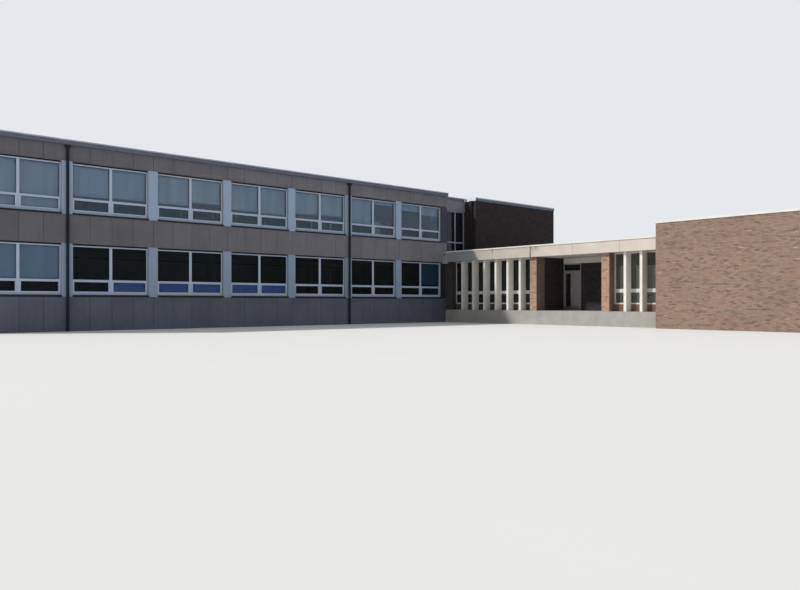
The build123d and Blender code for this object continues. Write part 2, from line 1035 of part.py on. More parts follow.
def pull_handle():
    """A straight pull handle on two posts, standing off the leaf's outer face."""
    radius = handle_diameter / 2
    bar = Pos(0, -handle_standoff, 0) * Cylinder(radius, handle_length)
    for z in (-handle_length / 3, handle_length / 3):
        post = Pos(0, -handle_standoff / 2, z) * Rot(90, 0, 0) * Cylinder(radius * 0.7, handle_standoff)
        bar += post
    return bar


def door_handle(side):
    middle = leaf_height() / 2
    edge = door_stile / 2
    x = leaf_width() - edge if side == "left" else edge
    return [place_leaf(side, Pos(x, 0, middle) * pull_handle())]


def hinge_heights():
    """Middle height of each hinge, measured from the leaf's foot."""
    lowest = hinge_end_distance
    span = leaf_height() - 2 * hinge_end_distance
    return [lowest + number * span / (hinges_per_leaf - 1) for number in range(hinges_per_leaf)]


def hinge_axis_distance(side):
    """Distance of a hinge axis from the porch's near corner: the middle of the gap at the jamb."""
    near = door_frame_bar + door_gap / 2
    return near if side == "left" else door_opening_width - near


def hinge_half(side, z_low, towards):
    """One knuckle on the hinge axis, with its flag on the face beside it."""
    x = hinge_axis_distance(side)
    knuckle = Pos(x, -hinge_radius, z_low + hinge_knuckle / 2) * Cylinder(hinge_radius, hinge_knuckle)
    end = x + towards * hinge_flag_length
    flag = block(min(x, end), max(x, end), -hinge_flag_thickness, 0, z_low, z_low + hinge_knuckle)
    return door_placement(0) * Pos(0, 0, door_gap) * (knuckle + flag)


def leaf_hinges(side):
    """The upper halves of one leaf's lift-off hinges."""
    towards = 1 if side == "left" else -1
    return [hinge_half(side, z + hinge_knuckle_gap, towards) for z in hinge_heights()]


def frame_hinges():
    """The lower halves of all the hinges, on the jambs, which carry the leaves."""
    return [
        hinge_half(side, z - hinge_knuckle, towards)
        for side, towards in (("left", -1), ("right", 1))
        for z in hinge_heights()
    ]


def entrance_east_wall():
    """The hidden side of the entrance block, plain brick with tall windows."""
    starts = side_window_starts(hall_y1, front_y, entrance_side_window_count)
    return [side_wall(hall_y1, front_y, fascia_top, starts, (link_window_sill - storey,))]


# Hall


def hall_long_walls():
    west = block(hall_x0, hall_x0 + brick_wall, hall_y0, hall_y1, 0, hall_wall_top)
    east = block(block_x1 - brick_wall, block_x1, hall_y0, hall_y1, 0, hall_wall_top)
    return [west, east]


def hall_doorway_x0():
    return block_x1 - hall_doorway_from_side


def hall_end_walls():
    """The hall's far end, and the wall beside its doorway to the entrance block."""
    x0 = hall_x0 + brick_wall
    x1 = block_x1 - brick_wall
    door0 = hall_doorway_x0()
    door1 = door0 + hall_doorway_width
    far = block(x0, x1, hall_y0, hall_y0 + brick_wall, 0, hall_wall_top)
    beside_left = block(x0, door0, hall_y1 - brick_wall, hall_y1, 0, hall_wall_top)
    beside_right = block(door1, x1, hall_y1 - brick_wall, hall_y1, 0, hall_wall_top)
    return [far, beside_left, beside_right]


def hall_doorway_walls():
    """The wall over the hall's doorway, and its threshold."""
    door0 = hall_doorway_x0()
    door1 = door0 + hall_doorway_width
    y0 = hall_y1 - brick_wall
    top = ground_floor_level + hall_doorway_height
    over = block(door0, door1, y0, hall_y1, top, hall_wall_top)
    threshold = block(door0, door1, y0, hall_y1, 0, ground_floor_level)
    return [over, threshold]


def hall_roof():
    z1 = hall_wall_top - hall_roof_below_wall_top
    x0 = hall_x0 + brick_wall
    x1 = block_x1 - brick_wall
    return [block(x0, x1, hall_y0 + brick_wall, hall_y1 - brick_wall, z1 - low_roof_thickness, z1)]


def hall_coping():
    over = coping_overhang
    depth = brick_wall + 2 * over
    z = hall_wall_top
    long_run = coping_run(hall_length + 2 * over, depth, coping_height)
    end_x0 = hall_x0 + brick_wall + over + movement_joint
    end_x1 = block_x1 - brick_wall - over - movement_joint
    end_run = coping_run(end_x1 - end_x0, depth, coping_height)
    return [
        Pos(hall_x0 - over, hall_y1 + over, z) * Rot(0, 0, -90) * long_run,
        Pos(block_x1 + over, hall_y0 - over, z) * Rot(0, 0, 90) * long_run,
        Pos(end_x0, hall_y0 - over, z) * end_run,
        Pos(end_x1, hall_y1 + over, z) * Rot(0, 0, 180) * end_run,
    ]


# Every named piece of the building


def plinth_panels():
    return panel_row(0, plinth_top)


def spandrel_panels():
    return panel_row(upper_panel_bottom, upper_panel_top)


def parapet_panels():
    return panel_row(upper_window_head, wall_top)


def wing_parts():
    return {
        "wing_plinth_panels": both_sides(plinth_panels),
        "wing_spandrel_panels": both_sides(spandrel_panels),
        "wing_parapet_panels": both_sides(parapet_panels),
        "wing_end_panels": both_sides(end_pier_panels) + both_sides(return_panels) + gable_panels(),
        "wing_gable_walls": gable_walls(),
        "wing_upstand_walls": both_sides(upstand_walls),
        "wing_posts": both_sides(wall_posts),
        "wing_post_covers": both_sides(post_covers),
        "wing_window_trims": both_sides(wing_window_sills) + both_sides(wing_window_heads),
        "wing_roof_gutter": wing_gutter(),
    }


def shared_parts():
    """Pieces that run through more than one part of the building."""
    first_z0 = first_floor_level - floor_slab_thickness
    return {
        "classroom_window_frames": both_sides(wing_window_frames),
        "classroom_window_glass": both_sides(wing_window_glass),
        "tall_window_frames": tall_window_frames(),
        "tall_window_glass": tall_window_glass(),
        "downpipes": wing_downpipes() + block_downpipe(),
        "ground_floor_slabs": ground_floor_slabs(),
        "first_floor_slabs": floor_plates(first_z0, first_floor_level),
        "main_roof_slabs": main_roof_slabs(),
        "low_roof_slabs": low_roof_slab() + recess_roof_slab() + hall_roof(),
        "low_roof_copings": low_roof_edge_copings() + hall_coping(),
    }


def link_and_block_parts():
    return {
        "link_head_panels": link_panels(),
        "link_side_walls": both_sides(link_side_walls),
        "link_sill_walls": link_sill_walls(),
        "block_long_walls": block_long_walls(),
        "block_side_walls": block_side_walls() + entrance_east_wall(),
        "block_roof_edges": both_sides(front_roof_edges) + side_roof_edge(),
    }


def entrance_parts():
    return {
        "entrance_base": entrance_base(),
        "entrance_piers": entrance_piers(),
        "entrance_fins": entrance_fins(),
        "entrance_window_plinths": window_plinths(),
        "entrance_window_frames": entrance_window_frames(),
        "entrance_window_glass": entrance_window_glass() + entrance_fanlight(),
        "entrance_roof_kerb": low_roof_kerb(),
        "entrance_fascia": fascia_panels() + rainwater_spout_box(),
        "porch_side_walls": porch_side_walls(),
        "porch_back_wall": porch_back_wall(),
        "porch_lintel": porch_lintel(),
    }


def door_parts():
    return {
        "entrance_door_frame": entrance_door_frame(),
        "frame_hinges": frame_hinges(),
        "left_door_leaf": left_door_leaf(),
        "left_door_glass": left_door_glass(),
        "left_door_handle": door_handle("left"),
        "left_door_hinges": leaf_hinges("left"),
        "right_door_leaf": right_door_leaf(),
        "right_door_handle": door_handle("right"),
        "right_door_hinges": leaf_hinges("right"),
    }


def hall_parts():
    return {
        "hall_long_walls": hall_long_walls(),
        "hall_end_walls": hall_end_walls(),
        "hall_doorway_walls": hall_doorway_walls(),
    }


def all_parts():
    groups = (wing_parts, shared_parts, link_and_block_parts, entrance_parts, door_parts, hall_parts)
    return {name: solids for group in groups for name, solids in group().items()}


def main():
    os.makedirs("parts", exist_ok=True)
    for name, solids in all_parts().items():
        shape = solids[0] if len(solids) == 1 else Compound(children=solids)
        export_step(shape, f"parts/{name}.step")


main()
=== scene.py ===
"""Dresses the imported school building: bricks, window fittings, roofing, finishes, light and camera."""
import math
import random

import bpy
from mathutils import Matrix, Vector


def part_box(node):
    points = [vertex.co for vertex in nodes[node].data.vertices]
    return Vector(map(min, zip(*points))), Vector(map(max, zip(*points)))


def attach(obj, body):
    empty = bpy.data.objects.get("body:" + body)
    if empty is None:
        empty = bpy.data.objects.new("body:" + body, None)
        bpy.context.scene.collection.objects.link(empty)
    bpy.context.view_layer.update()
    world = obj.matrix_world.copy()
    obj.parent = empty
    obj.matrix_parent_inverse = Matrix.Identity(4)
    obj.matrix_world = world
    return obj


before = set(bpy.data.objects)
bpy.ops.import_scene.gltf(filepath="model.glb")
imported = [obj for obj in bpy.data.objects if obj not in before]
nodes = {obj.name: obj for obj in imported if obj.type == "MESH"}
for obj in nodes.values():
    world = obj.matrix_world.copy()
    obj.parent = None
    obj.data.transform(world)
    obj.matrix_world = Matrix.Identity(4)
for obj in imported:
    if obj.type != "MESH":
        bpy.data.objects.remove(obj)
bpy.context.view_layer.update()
scene = bpy.context.scene

# Levels and lines of the building, in metres

wing_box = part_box("wing_parapet_panels")
block_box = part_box("block_long_walls")
hall_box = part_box("hall_long_walls")
link_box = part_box("link_head_panels")
pier_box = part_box("entrance_piers")

wing_x0, front_y = wing_box[0][:2]
wing_x1, rear_y = wing_box[1][:2]
block_x0, block_x1 = block_box[0][0], block_box[1][0]
link_y0, link_y1 = link_box[0][1], link_box[1][1]
hall_x0, hall_y0, hall_y1 = hall_box[0][0], hall_box[0][1], hall_box[1][1]
middle_y = (front_y + rear_y) / 2
wing_fronts = (("-y", front_y), ("+y", rear_y))
pier_x, plinth_back_x = pier_box[0][0], pier_box[1][0]
entrance_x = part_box("entrance_window_frames")[0][0]
porch_back_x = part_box("porch_back_wall")[0][0]
kerb_x1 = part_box("entrance_roof_kerb")[1][0]

bay = 3.6
bay_count = 7
end_pier = 0.26
first_bay_x = wing_x0 + end_pier
last_bay_end_x = first_bay_x + bay * bay_count
post_half = 0.2115
window_recess = 0.15
frame_depth = 0.08
frame_bar = 0.05
light_width = 1.48
mullion = 0.117
glass_thickness = 0.024
sills = (1.51, 4.89)
window_height = 2.04
upper_light_low = 0.63
upper_light_high = window_height - frame_bar
sash_low = 0.133
sash_high = 0.53
sash_inset = 0.045
storey_zones = ((1.43, 3.62), (4.81, 7.0))
clad_wall = 0.27
brick_wall = 0.3
wall_top = 7.64
roof_top = 7.85
roof_slab_top = 7.45
low_roof_top = 3.93
hall_wall_top = 4.795
hall_roof_top = 4.495
fascia_top = 4.19
soffit = 3.63
floor_level = 0.75
window_plinth_top = 1.10

# The entrance front, as distances from the wing's front line towards the hall
brick_pier = 0.44
porch_start = 6.91
porch_end = 10.925
entrance_length = front_y - hall_y1
left_fin_lines = [1.3825 + 0.875 * number for number in range(6)]
right_fin_lines = [12.215, 13.065]
entrance_bar = 0.075
entrance_light_rows = ((window_plinth_top + entrance_bar, 1.67), (1.85, soffit - entrance_bar))
door_opening_width = 1.16
lintel_height = 0.3

# The metal roof edges
gutter_overhang = 0.15
coping_overhang = 0.04
gutter_cap_step = 0.018
roof_edge_cap_low = 7.795

# The tall windows of the link and the hidden side
tall_width = 1.6
tall_low, tall_high = 4.35, 7.0
storey = 3.38
tall_bar = 0.07
tall_transom = 5.0
entrance_side_starts = (-3.405, -0.405, 2.595)
block_side_starts = (9.945, 12.945)


def from_front(distance):
    """Y at a distance from the wing's front line towards the hall."""
    return front_y - distance


# Finishes


def linear(colour):
    """A colour given as 0 to 255 steps of red, green and blue, as light values."""
    shares = [step / 255 for step in colour]
    return (*(s / 12.92 if s <= 0.04045 else ((s + 0.055) / 1.055) ** 2.4 for s in shares), 1.0)


class Nodes:
    """A tree of shader nodes that grows by short calls."""

    def __init__(self, tree):
        self.tree = tree

    def feed(self, node, inputs):
        """Links each input of a node to an output, or sets the input's own value."""
        for key, value in inputs.items():
            if isinstance(value, bpy.types.NodeSocket):
                self.tree.links.new(value, node.inputs[key])
            else:
                node.inputs[key].default_value = value

    def add(self, kind, output=None, inputs=(), **settings):
        """One output of a new node, with the node's settings and inputs."""
        node = self.tree.nodes.new("ShaderNode" + kind)
        for key, value in settings.items():
            setattr(node, key, value)
        self.feed(node, dict(inputs))
        return None if output is None else node.outputs[output]

    def math(self, operation, first, second=0.0, clamp=False):
        return self.add("Math", "Value", {0: first, 1: second}, operation=operation, use_clamp=clamp)

    def largest(self, value, *others):
        for other in others:
            value = self.math("MAXIMUM", value, other)
        return value


class Finish(Nodes):
    """One procedural material round a single shader. Colours are given as steps."""

    def __init__(self, name, roughness=0.8, metallic=0.0, specular=0.5):
        self.material = bpy.data.materials.new(name)
        self.material.use_nodes = True
        super().__init__(self.material.node_tree)
        self.shader = self.tree.nodes["Principled BSDF"]
        self.feed(self.shader, {"Roughness": roughness, "Metallic": metallic, "Specular IOR Level": specular})
        self.place = self.add("TexCoord", "Object")
        self.normal = None

    def noise(self, scale, detail=3.0, stretch=None):
        where = self.place
        if stretch is not None:
            where = self.add("Mapping", "Vector", {"Vector": where, "Scale": stretch})
        inputs = {"Vector": where, "Scale": scale, "Detail": detail, "Roughness": 0.55}
        return self.add("TexNoise", "Fac", inputs)

    def cells(self, scale, output="Distance"):
        return self.add("TexVoronoi", output, {"Vector": self.place, "Scale": scale})

    def times(self, value, *factors):
        for factor in factors:
            value = self.math("MULTIPLY", value, factor)
        return value

    def axis(self, letter):
        return self.add("SeparateXYZ", letter, {"Vector": self.place})

    def over(self, letter, line):
        """1 where the surface lies past a line along an axis, and 0 elsewhere."""
        return self.math("GREATER_THAN", self.axis(letter), line)

    def under(self, letter, line):
        return self.math("LESS_THAN", self.axis(letter), line)

    def fit(self, value, low, high, start=0.0, end=1.0):
        """A value mapped from one range to another, and held at its ends."""
        return self.add("MapRange", "Result", dict(enumerate((value, low, high, start, end))))

    def ramp(self, value, stops):
        colour = self.add("ValToRGB", "Color", {"Fac": value})
        elements = colour.node.color_ramp.elements
        while len(elements) < len(stops):
            elements.new(0.5)
        for element, (position, stop) in zip(elements, stops):
            element.position = position
            element.color = linear(stop)
        return colour

    def two_tones(self, value, dark, pale):
        return self.ramp(value, ((0.3, dark), (0.7, pale)))

    def mix(self, share, first, second, blend="MIX"):
        first, second = (linear(side) if isinstance(side, tuple) else side for side in (first, second))
        return self.add("Mix", 2, {0: share, 6: first, 7: second}, data_type="RGBA", blend_type=blend)

    def bump(self, height, depth, strength):
        """Relief of a depth in metres, laid over the relief so far."""
        inputs = {"Height": height, "Distance": depth, "Strength": strength}
        if self.normal is not None:
            inputs["Normal"] = self.normal
        self.normal = self.add("Bump", "Normal", inputs)

    def paint(self, colour, grain=None, smooth=0.0, rough=1.0, low=0.2, high=0.8):
        """Ends a finish. Its roughness follows a grain, if it has one, from smooth to rough."""
        self.feed(self.shader, {"Base Color": colour, "Normal": self.normal})
        if grain is not None:
            self.feed(self.shader, {"Roughness": self.fit(grain, low, high, smooth, rough)})
        return self.material


panel_row_height = 1.19
pebble_scale = 95.0
stained_joint = 6.65
marked_joint = 3.95
fascia_shadow_slant = 0.645
fascia_painted_shadow_edge = 2.86
coating_wear = 0.25
wing_edge_face = (98, 103, 118)
wing_edge_cap_highlight = (176, 190, 206)


def panel_shade(f, spread):
    """A small difference of tone from one cladding panel to the next."""
    along = f.math("SUBTRACT", f.axis("X"), first_bay_x)
    column = f.math("FLOOR", f.math("DIVIDE", along, bay / 4))
    row = f.math("FLOOR", f.math("DIVIDE", f.axis("Z"), panel_row_height))
    panel = f.add("CombineXYZ", "Vector", {0: column, 1: f.over("Y", middle_y), 2: row})
    chance = f.add("TexWhiteNoise", "Value", {"Vector": panel})
    return f.fit(chance, 0.0, 1.0, 1.0 - spread, 1.0 + spread)


def washed_concrete(name, stones, cement, spread=0.07, corner=None, along=None):
    """Washed aggregate: pebbles in cement, rain streaks and a tone of its own for each panel.

    The corner is a painted shade on the front beside the link: where it starts, how high its darker low part
    goes, its tint and the low part's tone.
    Along is a painted change of light along the wing: where it starts and ends, and its last tone.
    """
    f = Finish(name, roughness=0.88, specular=0.3)
    gap = f.cells(pebble_scale)
    face = f.mix(f.fit(gap, 0.35, 0.62), f.ramp(f.cells(pebble_scale, "Color"), stones), cement)
    blotch = f.fit(f.noise(0.8, 4.0), 0.3, 0.7, 0.9, 1.08)
    streak = f.fit(f.noise(2.2, 5.0, (3.0, 3.0, 0.22)), 0.35, 0.72, 1.03, 0.92)
    tone = f.times(blotch, streak, panel_shade(f, spread))
    if corner is not None:
        start, low_top, tint, low_tone = corner
        # Painted shade in the corner beside the link, on the front only
        in_shaded_corner = f.times(f.over("X", start), f.under("Y", middle_y))
        face = f.mix(in_shaded_corner, face, tint, "MULTIPLY")
        low = f.times(in_shaded_corner, f.under("Z", low_top))
        tone = f.times(tone, f.fit(low, 0.0, 1.0, 1.0, low_tone))
    # A painted change of light along the wing
    if along is not None:
        start, end, last_tone = along
        tone = f.times(tone, f.fit(f.axis("X"), start, end, 1.0, last_tone))
    face = f.add("VectorMath", 0, {0: face, "Scale": tone}, operation="SCALE")
    f.bump(f.fit(gap, 0.1, 0.6, 1.0, 0.0), 0.003, 0.8)
    f.bump(f.noise(420.0, 2.0), 0.0006, 0.6)
    return f.paint(face, f.noise(60.0), 0.8, 0.95)


def dark_to_pale(pale, dark):
    """Colour stops from halfway between two colours to the pale one."""
    half = tuple((p + d) / 2 for p, d in zip(pale, dark))
    paler = tuple((3 * p + d) / 4 for p, d in zip(pale, dark))
    return ((0.28, half), (0.5, paler), (0.72, pale))


def cast_concrete(name, pale, dark, streaks=0.35):
    """Cast concrete with pores, soft blotches and rain streaks."""
    f = Finish(name, roughness=0.75, specular=0.35)
    fine = f.noise(34.0, 4.0)
    blotch = f.math("ADD", f.times(f.noise(1.7, 6.0), 0.7), f.times(fine, 0.3))
    streak = f.fit(f.noise(3.0, 6.0, (4.0, 4.0, 0.2)), 0.5, 0.78)
    face = f.mix(f.times(streak, streaks), f.ramp(blotch, dark_to_pale(pale, dark)), dark)
    f.bump(f.fit(f.cells(55.0), 0.04, 0.12), 0.0012, 0.7)
    f.bump(f.noise(240.0, 3.0), 0.0004, 0.5)
    return f.paint(face, fine, 0.66, 0.86)


def fascia_concrete():
    """Pale precast panels: grime under the coping and two stained joints, with painted shade: a bluish
    painted shadow on the end by the wing, its edge slanting like the wing's cast shadow, and a gentle
    darkening towards the wing.
    """
    f = Finish("fascia_concrete", roughness=0.72, specular=0.35)
    from_wing = f.math("SUBTRACT", front_y, f.axis("Y"))
    height = f.fit(f.axis("Z"), soffit, fascia_top)
    run = f.noise(6.0, 6.0, (1.0, 4.5, 0.16))
    drips = f.times(f.fit(run, 0.53, 0.75), f.math("POWER", height, 3.0), 0.4)
    past_joint = f.math("SUBTRACT", from_wing, stained_joint)
    beside = f.fit(f.math("ABSOLUTE", past_joint), 0.02, 0.07, 0.85, 0.0)
    in_reach = f.times(f.fit(past_joint, 0.0, 0.05), f.fit(past_joint, 0.35, 0.6, 1.0, 0.0))
    streaks = f.times(f.fit(run, 0.42, 0.56), in_reach, f.fit(height, 0.3, 0.9))
    from_mark = f.math("ABSOLUTE", f.math("SUBTRACT", from_wing, marked_joint))
    mark = f.times(f.fit(from_mark, 0.02, 0.08, 0.6, 0.0), f.fit(height, 0.45, 0.9))
    face = f.ramp(f.noise(1.4, 6.0), dark_to_pale((216, 207, 194), (186, 178, 166)))
    face = f.mix(f.largest(drips, beside, streaks, mark), face, (100, 92, 84))
    # A painted shadow on the end by the wing: bluish, with a slanting edge
    slant = f.times(f.math("SUBTRACT", f.axis("Z"), soffit), fascia_shadow_slant)
    slanted = f.math("ADD", from_wing, slant)
    painted_shadow = f.fit(slanted, fascia_painted_shadow_edge - 0.06, fascia_painted_shadow_edge + 0.06, 1.0, 0.0)
    face = f.mix(painted_shadow, face, (208, 228, 248), "MULTIPLY")
    # Painted shade: the panels darker towards the wing
    face = f.mix(f.fit(from_wing, 2.5, 9.5, 1.0, 0.0), face, (228, 226, 226), "MULTIPLY")
    f.bump(f.fit(f.cells(60.0), 0.04, 0.12), 0.001, 0.6)
    f.bump(f.noise(260.0, 3.0), 0.0004, 0.5)
    return f.paint(face, f.noise(30.0), 0.62, 0.82)


def bricks_finish(name, tones, soot):
    """Fired bricks: a tone for each brick, with burnt patches, grit and soot."""
    f = Finish(name, roughness=0.86, specular=0.3)
    tone = f.add("Attribute", "Fac", attribute_name="tone")
    patch = f.noise(14.0, 5.0)
    burnt = f.math("ADD", tone, f.fit(patch, 0.25, 0.75, -0.13, 0.13), clamp=True)
    sooty = f.fit(f.noise(0.55, 4.0), 0.42, 0.75, 0.0, 0.3)
    f.bump(f.noise(70.0, 4.0), 0.002, 0.7)
    f.bump(f.cells(160.0), 0.0008, 0.5)
    return f.paint(f.mix(sooty, f.ramp(burnt, tones), soot), patch, 0.78, 0.94)


def mortar_finish(name, dark, pale):
    f = Finish(name, roughness=0.92, specular=0.2)
    f.bump(f.noise(180.0, 4.0), 0.0015, 0.8)
    face = f.two_tones(f.noise(6.0, 5.0), dark, pale)
    return f.paint(face, f.noise(40.0), 0.86, 0.97)


def coated_metal(name, colour, soiled, roughness=0.38, specular=0.5, lower_storey_tint=None):
    """A satin coating, faintly wavy, with dust and run-off marks.

    Lower storey tint is the share and the colour that make the lower storey darker and bluer.
    """
    f = Finish(name, roughness=roughness, specular=specular)
    dust = f.fit(f.noise(3.0, 6.0), 0.42, 0.78, 0.0, coating_wear)
    run = f.fit(f.noise(4.0, 5.0, (5.0, 5.0, 0.25)), 0.5, 0.8, 0.0, coating_wear)
    face = f.mix(f.largest(dust, run), colour, soiled)
    if lower_storey_tint is not None:
        # Darker and bluer on the lower storey
        share, lower_storey_colour = lower_storey_tint
        face = f.mix(f.times(f.under("Z", sills[1] - 0.5), share), face, lower_storey_colour)
    f.bump(f.noise(1.2, 2.0), 0.0015, 0.25)
    f.bump(f.noise(500.0, 2.0), 0.00015, 0.5)
    return f.paint(face, f.noise(9.0, 4.0), roughness - 0.07, roughness + 0.16, 0.25, 0.75)


def roof_edge_metal(name, face, face_worn, cap, cap_worn, end=None):
    """A coated roof edge: a pale cap, whose paleness is a painted highlight, over a darker face.

    Past its end it is painted as sunlit beside the link, and along the link as dark as the wing's edge.
    """
    f = Finish(name, roughness=0.42)
    # The cap's band is paler: a painted highlight along the top of the edge
    on_cap_highlight = f.fit(f.axis("Z"), roof_edge_cap_low - 0.0005, roof_edge_cap_low + 0.0005)
    worn = f.fit(f.noise(2.4, 6.0, (1.0, 1.0, 5.0)), 0.35, 0.75)
    colour = f.mix(on_cap_highlight, f.mix(worn, face, face_worn), f.mix(worn, cap, cap_worn))
    if end is not None:
        # Painted sunlight on the return beside the link
        sunlit_return = f.mix(worn, (228, 230, 233), cap)
        along_link = f.mix(on_cap_highlight, wing_edge_face, wing_edge_cap_highlight)
        past_end = f.mix(f.over("Y", link_y0 - 0.2), sunlit_return, along_link)
        colour = f.mix(f.under("X", end), colour, past_end)
    f.bump(f.noise(1.6, 2.0), 0.002, 0.3)
    f.bump(f.noise(420.0, 2.0), 0.0002, 0.5)
    return f.paint(colour, worn, 0.36, 0.54, 0.0, 1.0)


def brushed_steel():
    f = Finish("brushed_steel", roughness=0.3, metallic=1.0)
    lines = f.noise(30.0, 3.0, (60.0, 60.0, 1.0))
    f.bump(lines, 0.0001, 0.5)
    face = f.two_tones(lines, (168, 168, 168), (196, 196, 197))
    return f.paint(face, lines, 0.24, 0.4)


def clear_glass(name, bend, clear):
    """A glass whose reflections are tinted the blue of an open sky: a painted sky reflection."""
    f = Finish(name, roughness=0.03)
    f.feed(f.shader, {"IOR": bend, "Transmission Weight": clear, "Specular Tint": (0.6, 0.8, 1.0, 1.0)})
    return f


def tinted(f, tint, dust=0.1):
    """Ends a glass with its tint, a thin film of dust and gentle waviness."""
    film = f.noise(1.3, 5.0)
    f.bump(f.noise(0.9, 1.0), 0.004, 0.25)
    face = f.mix(f.fit(film, 0.4, 0.8, 0.0, dust), tint, (150, 160, 166))
    return f.paint(face, film, 0.02, 0.07, 0.3)


def entrance_glass():
    """Dark glass, and paler panes between the porch and the hall."""
    f = clear_glass("entrance_glass", 1.35, 0.85)
    by_hall = f.under("Y", from_front(porch_end))
    return tinted(f, f.mix(by_hall, (104, 106, 104), (188, 188, 172)))


def classroom_glass():
    """Glass with a painted sky reflection: blue over the blinds and on the upper storey, with painted clouds,
    and nearly black where the rooms stay open, with weaker reflections there.
    """
    f = clear_glass("classroom_glass", 1.3, 0.94)
    last_light_x = last_bay_end_x - post_half - frame_bar - light_width
    upper = f.over("Z", sills[1])
    free_end = f.under("X", first_bay_x + bay)
    other_bays = f.math("SUBTRACT", 1.0, free_end)
    ground_sash = f.under("Z", sills[0] + sash_high + 0.05)
    upper_sash = f.times(upper, f.under("Z", sills[1] + sash_high + 0.05))
    open_sash = f.times(upper_sash, other_bays)
    upper_screen = f.times(upper, f.fit(open_sash, 0.0, 1.0, 1.0, 0.75))
    screened = f.largest(upper_screen, f.times(free_end, f.math("SUBTRACT", 1.0, ground_sash)))
    over_boards = f.times(
        ground_sash, f.over("X", first_bay_x + 1.5 * bay), f.under("X", first_bay_x + 4 * bay)
    )
    tint = f.mix(over_boards, (110, 116, 118), (190, 205, 225))
    tint = f.mix(f.over("X", last_light_x - 0.05), tint, (112, 136, 150))
    # A painted reflection of a blue sky with clouds
    sky = f.mix(f.fit(f.noise(0.45, 3.0), 0.4, 0.62), (198, 214, 230), (206, 220, 228))
    tint = f.mix(screened, tint, f.mix(upper, (172, 194, 212), sky))
    # Painted reflection strength: weaker on the open panes, stronger over the blinds
    f.feed(f.shader, {"IOR": f.fit(screened, 0.0, 1.0, 1.12, 1.45)})
    return tinted(f, tint, dust=0.08)


def blind_cloth():
    f = Finish("blind_cloth", roughness=0.85, specular=0.2)
    threads = {"Vector": f.place, "Scale": 140.0}
    weave = f.times(*(f.add("TexWave", "Fac", threads, bands_direction=way) for way in "XZ"))
    hang = f.noise(1.1, 3.0, (2.5, 1.0, 0.3))
    cloth = f.two_tones(hang, (180, 190, 198), (206, 214, 222))
    f.bump(weave, 0.0003, 0.6)
    return f.paint(f.mix(f.times(weave, 0.08), cloth, (150, 162, 172)))


def painted_board():
    """Plain blue painted board, a little scuffed."""
    f = Finish("painted_board", roughness=0.5, specular=0.4)
    scuffs = f.noise(4.0, 6.0)
    f.bump(f.noise(60.0, 4.0), 0.0006, 0.5)
    face = f.two_tones(scuffs, (12, 76, 150), (20, 96, 180))
    return f.paint(face, scuffs, 0.42, 0.62)


def roofing_felt():
    f = Finish("roofing_felt", roughness=0.93, specular=0.2)
    grit = f.ramp(f.cells(380.0, "Color"), ((0.2, (84, 86, 89)), (0.8, (116, 118, 121))))
    stain = f.noise(0.7, 6.0)
    face = f.mix(f.fit(stain, 0.35, 0.75, 0.0, 0.35), grit, (126, 125, 120))
    f.bump(f.cells(380.0), 0.001, 0.8)
    return f.paint(face, stain, 0.86, 0.97, 0.3, 0.7)


def rubber():
    f = Finish("rubber", roughness=0.6, specular=0.35)
    grain = f.noise(90.0, 3.0)
    f.bump(grain, 0.0003, 0.5)
    return f.paint(f.two_tones(grain, (22, 23, 25), (34, 35, 37)), grain, 0.52, 0.7)


def ceiling_paint():
    f = Finish("ceiling_paint", roughness=0.85, specular=0.3)
    f.bump(f.noise(120.0, 4.0), 0.0006, 0.6)
    face = f.two_tones(f.noise(2.0, 5.0), (190, 186, 178), (214, 211, 204))
    return f.paint(face, f.noise(20.0), 0.78, 0.92)


def ground_finish():
    """The plain pale floor of the studio."""
    f = Finish("studio_floor", roughness=0.95, specular=0.1)
    f.bump(f.noise(3.0, 4.0), 0.001, 0.1)
    return f.paint(f.two_tones(f.noise(0.2, 3.0), (238, 237, 235), (240, 239, 237)))


panel_cement = (107, 107, 114)
panel_stones = (
    (0.0, (76, 75, 81)), (0.35, (115, 113, 119)), (0.6, (135, 134, 140)),
    (0.85, (102, 91, 93)), (1.0, (163, 162, 169)),
)
# The link's panels are the same washed concrete, paler as painted light against the shade of their recess
link_stones_painted_light = ((0.0, (104, 103, 110)), (0.5, (154, 153, 160)), (1.0, (206, 205, 212)))
# The plinth's stones and cement, cooler and darker than the wall panels', are the same panels with painted
# shade
shaded_plinth_stones = ((0.0, (73, 77, 88)), (0.5, (105, 111, 124)), (1.0, (133, 139, 152)))
hall_tones = (
    (0.0, (111, 92, 85)), (0.18, (127, 105, 94)), (0.4, (148, 123, 108)),
    (0.6, (160, 135, 118)), (0.78, (162, 121, 102)), (1.0, (184, 157, 134)),
)
pier_brick_tones = (
    (0.0, (131, 106, 94)), (0.18, (150, 122, 107)), (0.4, (177, 145, 124)),
    (0.6, (191, 159, 134)), (0.78, (194, 143, 117)), (1.0, (212, 178, 148)),
)
# The piers' side faces take a darker copy of the brick: painted shade
shaded_return_tones = ((0.0, (88, 68, 60)), (0.4, (120, 95, 80)), (0.78, (130, 92, 74)), (1.0, (146, 118, 96)))
block_tones = (
    (0.0, (37, 31, 35)), (0.3, (50, 42, 46)), (0.6, (62, 53, 57)),
    (0.85, (68, 55, 57)), (1.0, (82, 71, 73)),
)

# Painted shade on the end piers beside the link: bluish, and darkest on the lower storey
link_corner_painted_shade = (last_bay_end_x - 1, 3.65, (179, 192, 213), 0.34)
# Painted light: the wall panels paler towards the entrance
panels_painted_light = (-16.0, 0.0, 1.36)
# Painted shade: the plinth darker towards the link
plinth_painted_shade = (1.5, 7.6, 0.75)
block_end = block_x0 - 0.03

